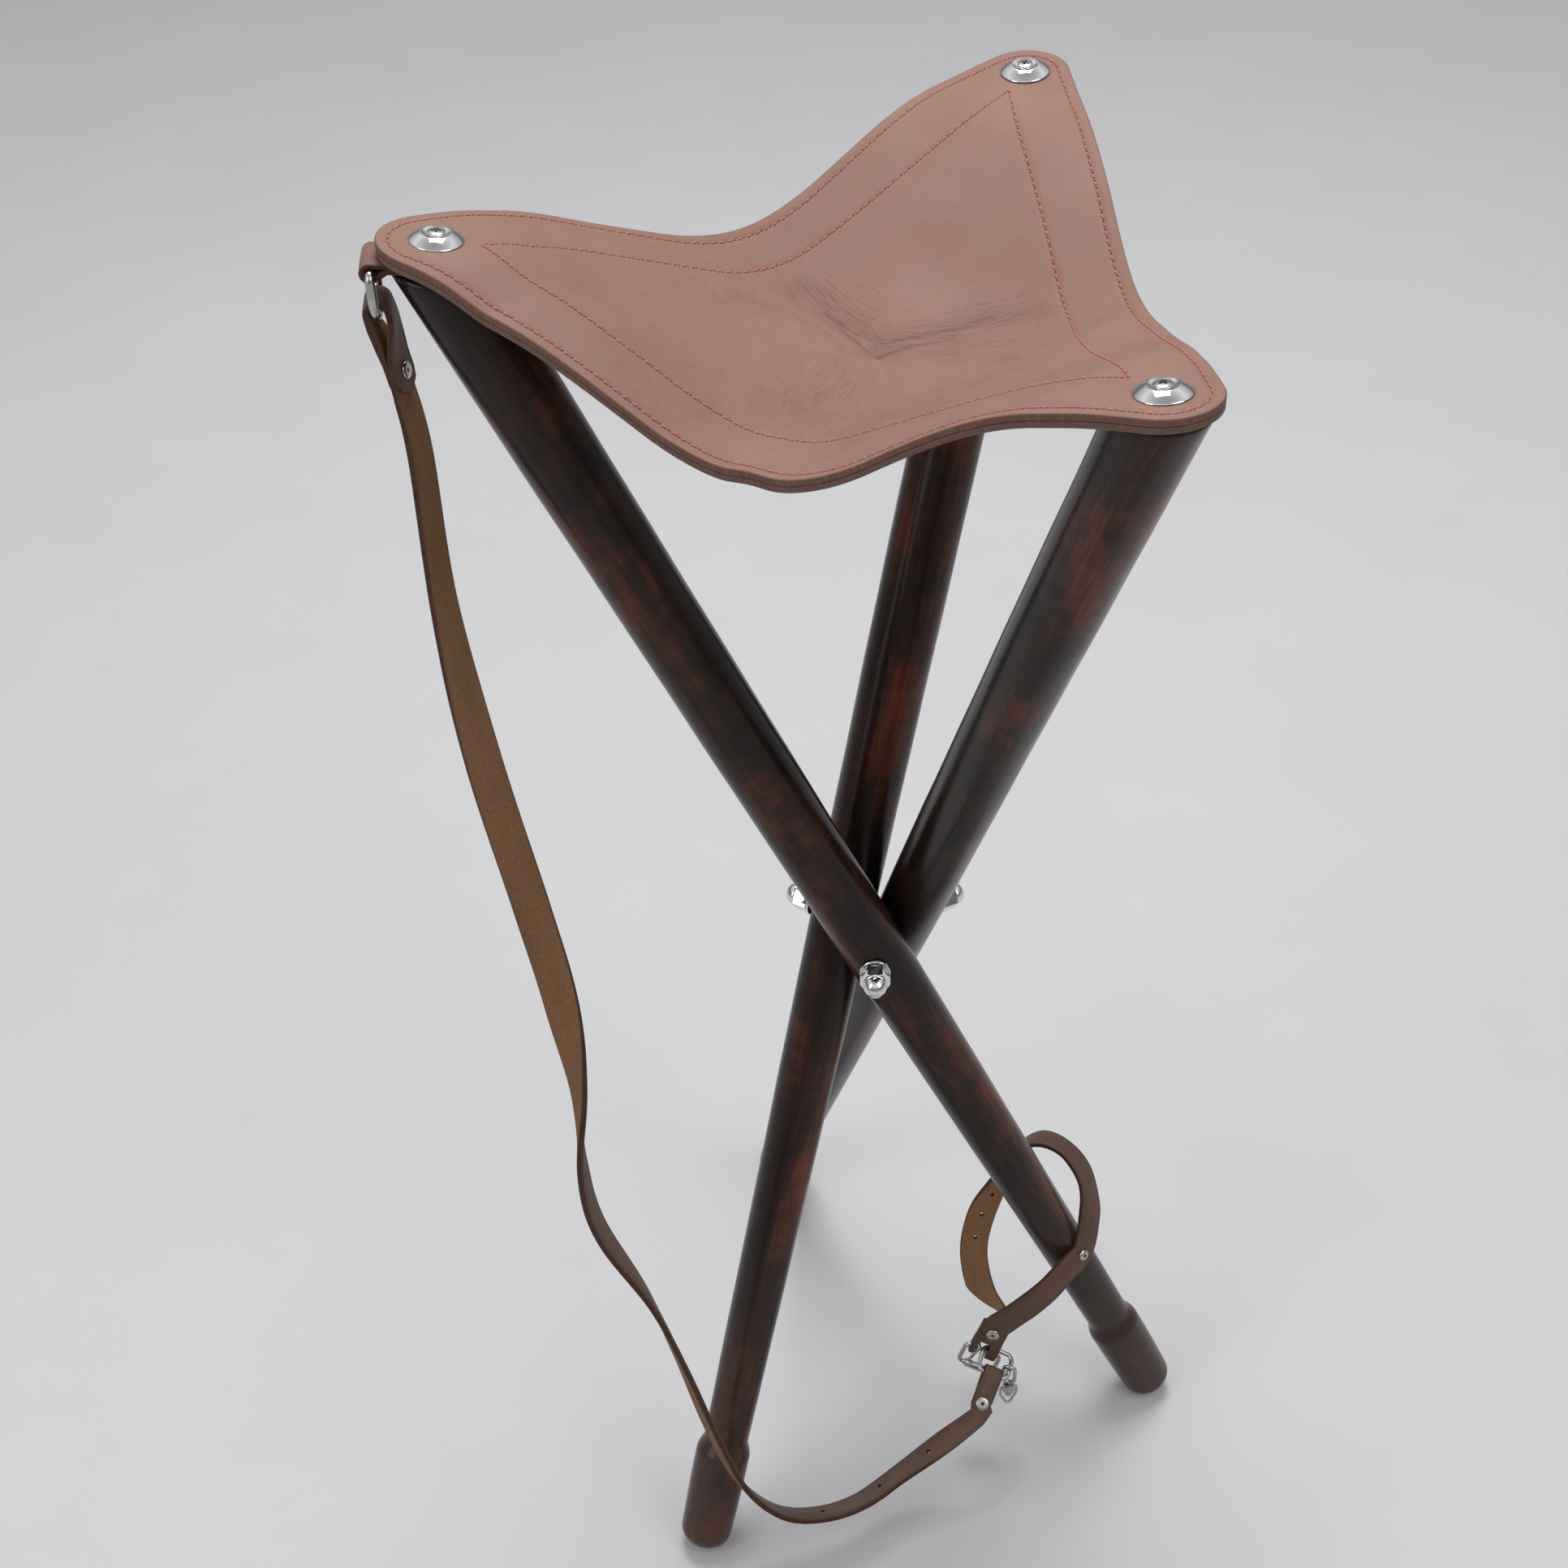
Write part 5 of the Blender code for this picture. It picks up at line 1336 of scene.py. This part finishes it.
def lineMesh(plan, top):
    x, y = plan[:, 0], plan[:, 1]
    step = stitch["probe"]
    height = seatHeight(x, y) + softWaves(x, y)
    height = height + leatherMarks(x, y) if top else height - (2 * seat["leather"] + seat["gap"])
    slopeX = (seatHeight(x + step, y) - seatHeight(x - step, y)) / (2 * step)
    slopeY = (seatHeight(x, y + step) - seatHeight(x, y - step)) / (2 * step)
    lie = np.column_stack((-slopeX, -slopeY, np.ones(len(x)))) * (1 if top else -1)
    owner = np.argmax([x * cornerDirection(s).x + y * cornerDirection(s).y for s in corners], 0)
    mesh = bpy.data.meshes.new("stitchLine")
    rows = np.column_stack((x + middle.x, y + middle.y, height))
    mesh.from_pydata(rows.tolist(), [(k, (k + 1) % len(x)) for k in range(len(x))], [])
    setAttribute(mesh, "lie", "FLOAT_VECTOR", lie)
    setAttribute(mesh, "corner", "FLOAT", owner)
    return mesh


def joinMeshes(meshes):
    work = bmesh.new()
    for mesh in meshes:
        work.from_mesh(mesh)
    made = bpy.data.meshes.new("joined")
    work.to_mesh(made)
    work.free()
    return made


sewing = stitchTree()


def sew(name, prototype, phase, finish, faces):
    pattern = linked("pattern", prototype)
    lines = (smoothLine(innerStitch, stitch["lineStep"], True), outerLine)
    for number, side in enumerate(corners):
        values = {"Pitch": stitch["pitch"], "Phase": phase, "Corner": number, "Piece": pattern,
                  "Seed": stitch["seed"], "Finish": finish}
        grown = [grow(sewing, lineMesh(line, top), values) for top in faces for line in lines]
        obj = addPiece(name + "_" + side, joinMeshes(grown), finish)
        obj.data.shade_smooth()
        follow(obj, side)
    discard(pattern)


sew("stitch_thread", threadMesh(stitch), 0, thread, (True, False))
sew("needle_hole", holeMesh(stitch), 1, needleHole, (True,))
print("seat stitched")


# studs on the seat's corners

stud = {"radius": 0.0115, "height": 0.0038, "lip": 0.0060, "ball": 0.0165, "head": 0.0041, "headEdge": 0.0034,
        "rise": 0.0011, "shank": 0.0023, "length": 0.027, "recess": 0.0013, "recessDepth": 0.0022, "gap": 0.0003,
        "narrow": 0.55, "recessCorner": 0.0002, "roll": 0.0003, "clear": 0.0006}


def cornerPlace(side):
    point = middle + cornerDirection(side) * studReach + cornerHeight(side) * up
    return placed(point, cornerDirection(side), cornerNormal(side))


def cupMesh(sizes):
    outer, high, lip, low = sizes["radius"], sizes["height"], sizes["lip"], sizes["gap"]
    ball, roll, hole = sizes["ball"], sizes["roll"], sizes["shank"] + sizes["clear"]
    rows = [(hole, low), (outer - roll, low), (outer, low + 0.0002)]
    base = sqrt(ball ** 2 - outer ** 2)
    share = (high - low - roll) / (sqrt(ball ** 2 - lip ** 2) - base)
    for k in range(17):  # a low cap of a ball, with a rolled lip round the hole
        r = outer - 0.00005 + (lip + roll - outer) * k / 16
        rows.append((r, low + roll + share * (sqrt(ball ** 2 - r ** 2) - base)))
    rows.extend(((lip, high - 0.0001), (lip - roll, high - 0.0004),
                 (sizes["head"] + 0.0004, high - 0.0008), (hole, high * 0.4)))
    return lathe(rows, 64)


def crossCut(mesh, top, width, sizes, small=1.0):
    depth = sizes["recessDepth"] * small
    for k in range(2):
        loop = roundedLoop(Vector(), xAxis, yAxis, width / 2, sizes["recess"] * small / 2, stud["recessCorner"], 3)
        turn = Matrix.Translation((0, 0, top)) @ Matrix.Rotation(k * pi / 2, 4, "Z")
        mesh = carve(mesh, prism(loop, ((1, depth), (stud["narrow"], -depth))), turn)
    return mesh


def screwMesh(sizes):
    edge, head, shank, length = (sizes[key] for key in ("headEdge", "head", "shank", "length"))
    rows = [(0, -length), (shank * 0.4, -length * 0.93), (shank, -length * 0.78), (shank, sizes["height"] * 0.4),
            (head - 0.0001, edge - 0.0004), (head, edge - 0.0001)]
    rows.extend((head * c, edge + sizes["rise"] * s) for c, s in quarter(10, 0))
    return crossCut(lathe(rows, 48), edge + sizes["rise"], head * 1.3, sizes)


cup, seatScrew = cupMesh(stud), screwMesh(stud)
for side in corners:
    for name, pattern, finish in (("cup_washer_" + side, cup, chrome), ("seat_screw_" + side, seatScrew, zinc)):
        declare(setPiece(name, pattern, cornerPlace(side), finish), name, side + "_leg")
print("studs set")


# nuts and washers on the three-way bolt

pivot = {"washer": 0.0077, "washerThick": 0.0015, "flats": 0.013, "hexHigh": 0.0085, "dome": 0.0062,
         "domeHigh": 0.0066, "chamfer": 0.0008, "gap": 0.0003, "hole": 0.0043, "thread": 0.0045, "bevel": 0.00025}


def nutMesh(sizes):
    count = 96
    flat, corner = sizes["flats"] / 2, sizes["flats"] / 2 / cos(radians(30))
    high, cut = sizes["hexHigh"], sizes["chamfer"]
    rows = [(sizes["thread"], 0.0), (flat - 0.0002, 0.0), (corner, cut * 0.8), (corner, high * 0.5),
            (corner, high - cut)]
    rows.extend((corner - (corner - flat + 0.0003) * k / 5, high - cut + cut * k / 5) for k in range(1, 6))
    hexRows = len(rows)
    rows.extend(((sizes["dome"] + 0.0001, high), (sizes["dome"] - 0.0001, high + sizes["bevel"])))
    rows.extend((sizes["dome"] * c, high + sizes["domeHigh"] * s) for c, s in quarter(16))
    verts, rings = [], []
    for index, (radius, height) in enumerate(rows):
        number = count if radius > 0 else 1
        rings.append(range(len(verts), len(verts) + number))
        for k in range(number):
            turn = 2 * pi * k / count
            side = (turn + pi / 6) % (pi / 3) - pi / 6
            r = min(radius, flat / cos(side)) if index < hexRows else radius
            verts.append((r * cos(turn), r * sin(turn), height))
    faces = [tuple(reversed(rings[0]))]
    for below, above in zip(rings, rings[1:]):
        faces.extend(ringFaces(below, above, count))
    return outwards(meshOf(verts, faces))


def washerMesh(sizes):
    hole, out, thick, bevel = (sizes[key] for key in ("hole", "washer", "washerThick", "bevel"))
    return lathe([(hole, 0), (out - bevel, 0), (out, bevel), (out, thick - bevel), (out - bevel, thick),
                  (hole, thick)], 64)


def makePivot():
    outside = armReach() + tripod["pivotRadius"] + pivot["gap"]
    kinds = (("pivot_washer_", washerMesh(pivot), outside),
             ("cap_nut_", nutMesh(pivot), outside + pivot["washerThick"] + pivot["gap"]))
    for side in corners:
        for kind, pattern, reach in kinds:
            place = placed(hub + reach * arm(side), up, arm(side))
            declare(setPiece(kind + side, pattern, place, chrome), kind + side, "hub")
    for slot in bpy.data.objects["three_way_bolt"].material_slots:
        slot.material = zinc


makePivot()
print("pivot closed")


# tab, D-ring and rivets

def makeTab():
    low = tab["gap"] + tab["leather"] / 2
    high = low + tab["gap"] + tab["leather"]
    bend = dRing["wire"] + tab["gap"] + tab["leather"] / 2
    ends = (-tab["inner"], 0.5 * (tab["flat"] - tab["inner"]), tab["flat"])
    route = [reach * xAxis + low * up for reach in ends]
    route.extend(arc(dRing["barOut"] * xAxis + (high - bend) * up, xAxis, up, bend, -tab["wrap"], 90, 22))
    route.extend(reach * xAxis + high * up for reach in reversed(ends))
    place = tabFrame()
    path = [place @ p for p in route]
    edges = [place.to_3x3() @ yAxis] * len(path)
    half = tab["width"] / 2
    mesh = strapMesh(path, edges, [half] * len(path), [-half] * len(path), [tab["leather"]] * len(path))
    declare(addPiece("ring_tab", smooth(mesh, 50), tabFinish), "ring_tab", "left_leg")


def makeDRing():
    place = placed(dBarPoint, dBarAlong, up)
    corner = dRing["corner"]
    at = xAxis * (dRing["halfWidth"] - corner)
    path = arc(at - up * corner, xAxis, up, corner, 90, 0, 10)
    path.extend(arc(-dRing["side"] * up, xAxis, up, dRing["halfWidth"], 0, -180, 48))
    path.extend(arc(-at - up * corner, xAxis, up, corner, 180, 90, 10))
    path = [place @ p for p in path]
    steel(tube(path, dRing["wire"], place.to_3x3() @ yAxis, True, 24), "d_ring", "ring")


def steel(mesh, node, body):
    declare(addPiece(node, smooth(mesh), zinc), node, body)


rivet = {"head": 0.0038, "cap": 0.0010, "shank": 0.0016, "bore": 0.0009, "boreEase": 0.0002,
         "round": ((0.62, 1), (0.86, 0.86), (0.97, 0.55), (1, 0.25), (0.98, 0))}  # shares of head and cap


def rivetMesh(sizes, layers):
    half, cap, bore = layers / 2 + strap["gap"], sizes["cap"], sizes["bore"]
    part = [(bore, half * 0.6), (bore, half + cap * 0.75), (bore + sizes["boreEase"], half + cap)]
    part.extend((sizes["head"] * r, half + cap * h) for r, h in sizes["round"])
    part.append((sizes["shank"], half))
    return lathe([(r, -h) for r, h in part] + part[::-1], 40)


def makeRivets():
    pattern = rivetMesh(rivet, 2 * strap["leather"] + strap["gap"])
    made = []
    for name, place, body in (("carry_rivet_top", carryRivets[0], None),
                              ("carry_rivet_end", carryRivets[1], "left_leg"),
                              ("leg_strap_rivet", legStrapRivet, "left_leg")):
        made.append(declare(setPiece(name, pattern, place, zinc), name, body))
    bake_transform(made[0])
    return made[:2]


makeTab()
makeDRing()
carryRivetPieces = makeRivets()

strapScrew = {"shank": 0.0016, "head": 0.0032, "rise": 0.0015, "length": 0.012, "recess": 0.0013,
              "recessDepth": 0.0022, "edge": 0.15}


def strapScrewMesh(sizes):
    low = strap["leather"] / 2 + strap["gap"]
    head, rise, shank, length, edge = (sizes[key] for key in ("head", "rise", "shank", "length", "edge"))
    rows = [(0, -length), (shank, -length * 0.8), (shank, low), (head, low), (head, low + rise * edge)]
    rows.extend((head * c ** 0.7, low + rise * (edge + (1 - edge) * s)) for c, s in quarter(9))
    return crossCut(lathe(rows, 48), low + rise, head * 1.1, sizes, 0.8)


declare(setPiece("leg_strap_screw", strapScrewMesh(strapScrew), strapSeat(), zinc),
        "leg_strap_screw", "left_leg")
print("tab, ring, rivets and strap screw made")


# buckle, link ring and swivel

swivel = {"at": 0.0085, "wire": 0.0012, "bend": 0.0032, "straight": 0.007, "collar": 0.0035, "collarHigh": 0.006,
          "stem": 0.0012, "ball": 0.0022, "bailWire": 0.0008, "bailHalf": 0.0047, "bailStraight": 0.006,
          "bailLength": 0.014, "bailIn": 0.0022, "bailTurn": 25, "gap": 0.0003}


def makeBuckle():
    bar, f, g, out = buckleAxes()
    half = buckle["reach"] / 2
    loop = roundedLoop(bar + half * g, f, g, buckle["halfWidth"], half, buckle["corner"])
    steel(tube(loop, buckle["wire"], f.cross(g), True), "buckle_frame", "left_leg")
    gap = strap["gap"]
    hole, end, r = buckle["wire"] + gap, buckle["rollerLength"] / 2, buckle["rollerRadius"]
    rows = [(hole, -end), (r - gap, -end), (r, -end + gap), (r, end - gap), (r - gap, end), (hole, end)]
    roller = lathe(rows, 40)
    roller.transform(placed(bar + buckle["reach"] * g, out, f))
    steel(roller, "buckle_roller", "roller")
    drop = radians(buckle["prongDrop"])
    down = cos(drop) * g - sin(drop) * out
    x, y = f.cross(down), -down
    at = bar + buckle["prongAt"] * f
    bend = buckle["wire"] + gap + buckle["prongWire"]
    path = arc(at, x, y, bend, -60, 180, 26)
    path.extend(at - bend * x - t * buckle["prongLength"] * y for t in (0.15, 0.3, 0.6, 0.85, 1.0))
    steel(tube(path, buckle["prongWire"], f), "buckle_prong", "prong")


def makeLinkRing():
    back, f, down = ringAxes()
    half, wide = linkRing["reach"] / 2, linkRing["inner"] / 2 + linkRing["wire"]
    loop = roundedLoop(back + half * down, f, down, wide, half, linkRing["corner"], 12)
    steel(tube(loop, linkRing["wire"], f.cross(down), True), "link_ring", "left_leg")


def makeSwivel(s):
    back, f, down = ringAxes()
    hang = back + (linkRing["inner"] / 2 + linkRing["wire"]) * f + s["at"] * down
    place = placed(hang, f, up)
    x, y, z = xAxis, yAxis, up
    top = linkRing["wire"] + s["gap"] + s["wire"] - s["bend"]
    low = top - s["straight"]
    loop = arc(top * z, x, z, s["bend"], 0, 180, 20) + arc(low * z, x, z, s["bend"], 180, 360, 20)
    start = low - s["bend"]
    collarTop = start - s["wire"] - s["gap"]
    collarLow = collarTop - s["collarHigh"]
    ball = collarLow - s["gap"] - s["ball"]
    stem = [(0, start), (s["stem"], start), (s["stem"], collarLow - s["gap"])]
    turns = [radians(k) for k in range(35, 180, 12)]
    stem.extend((s["ball"] * sin(t), ball + s["ball"] * cos(t)) for t in turns)
    stem.append((0, ball - s["ball"]))
    eye = carve(tube(loop, s["wire"], y, True), lathe(stem, 28), None, "UNION")
    eye.transform(place)
    steel(eye, "hook_eye", "left_leg")
    half, r, hole = s["collarHigh"] / 2, s["collar"], s["stem"] + s["gap"]
    rows = [(hole, -half), (r * 0.85, -half), (r * 0.96, -half * 0.88), (r, -half * 0.7), (r, half * 0.7),
            (r * 0.96, half * 0.88), (r * 0.85, half), (hole, half)]
    collar = lathe(rows, 40)
    for way in (1, -1):
        tool = plug(s["bailWire"] + s["gap"], s["bailIn"] - s["gap"], 2 * r, 16)
        collar = carve(collar, tool, Matrix.Rotation(way * pi / 2, 4, "Y"))
    turnedPlace = (place @ Matrix.Translation((0, 0, (collarTop + collarLow) / 2))
                   @ Matrix.Rotation(radians(s["bailTurn"]), 4, "Z"))
    collar.transform(turnedPlace)
    steel(collar, "hook_collar", "swivel")
    corner, out, tip = 2 * s["bailWire"], s["bailHalf"], 2 * s["bailWire"]
    path = [s["bailIn"] * x]
    path.extend(arc((out - corner) * x - corner * z, x, z, corner, 90, 0, 8))
    path.append(out * x - s["bailStraight"] * z)
    path.extend(arc(-(s["bailLength"] - tip) * z, x, z, tip, -25, -155, 12))
    path.append(-out * x - s["bailStraight"] * z)
    path.extend(arc(-(out - corner) * x - corner * z, x, z, corner, 180, 90, 8))
    path.append(-s["bailIn"] * x)
    bail = tube(path, s["bailWire"], y)
    bail.transform(turnedPlace)
    steel(bail, "hook_bail", "bail")


makeBuckle()
makeLinkRing()
makeSwivel(swivel)
print("buckle, link ring and swivel made")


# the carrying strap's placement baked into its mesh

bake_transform(carryStrap)


# floor and light

studio = {"floor": srgb(208, 208, 211), "size": 9.0, "floorAt": -0.0004, "sky": 0.46, "seen": 0.62,
          "room": ((0.0, 0.30), (0.2, 0.14), (0.42, 0.5), (0.72, 0.85), (1.0, 0.38))}  # what the metal mirrors


def makeFloor(sizes):
    half, low = sizes["size"], sizes["floorAt"]
    mesh = meshOf([(-half, -half, low), (half, -half, low), (half, half, low), (-half, half, low)], [(0, 1, 2, 3)])
    finish, tree, shader = newFinish("pale_floor", 0.7)
    soft = noise(tree, objectPlace(tree), 6.0, 3.0)
    pale = tuple(c * 0.97 for c in sizes["floor"])
    paint(tree, shader, ramp(tree, soft, ((0.3, pale), (0.7, sizes["floor"]))))
    shader.inputs["Specular IOR Level"].default_value = 0.25
    addPiece("floor", mesh, finish)


def makeSky(sizes):
    world = bpy.data.worlds.new("studio")
    scene.world = world
    world.use_nodes = True
    tree = world.node_tree
    tree.nodes.clear()

    def background(colour, strength):
        return add(tree, "ShaderNodeBackground", {"Color": colour, "Strength": strength}).outputs[0]

    def mixed(factor, a, b):
        return add(tree, "ShaderNodeMixShader", {0: factor, 1: a, 2: b}).outputs[0]

    facing = add(tree, "ShaderNodeTexCoord").outputs["Generated"]
    height = add(tree, "ShaderNodeSeparateXYZ", {0: facing}).outputs[2]
    room = ramp(tree, height, [(at, level(value)) for at, value in sizes["room"]])
    path = add(tree, "ShaderNodeLightPath").outputs
    direct = maths(tree, "MAXIMUM", path["Is Camera Ray"], path["Is Transmission Ray"])
    lit = mixed(path["Is Glossy Ray"], background((1, 1, 1, 1), sizes["sky"]), background(room, 1.0))
    seen = background((*level(sizes["seen"]), 1), 1.0)
    add(tree, "ShaderNodeOutputWorld", {"Surface": mixed(direct, lit, seen)})


lamps = (("key", (0.0, 0.9, 2.65), (0, 0, 0.4), (1.0, 1.0), 38),  # place, target, size and power
         ("fill", (1.4, -1.0, 1.9), (0, 0, 0.4), (1.2, 1.6), 9),
         ("side", (-1.4, -1.0, 1.3), (0, 0, 0.35), (0.8, 1.4), 7))


def addLamp(name, place, target, size, power):
    data = bpy.data.lights.new(name, "AREA")
    data.shape, data.energy = "RECTANGLE", power
    data.size, data.size_y = size
    obj = linked(name, data)
    obj.location = place
    obj.rotation_euler = (Vector(target) - Vector(place)).to_track_quat("-Z", "Y").to_euler()


makeFloor(studio)
makeSky(studio)
for lamp in lamps:
    addLamp(*lamp)
print("floor and light set")
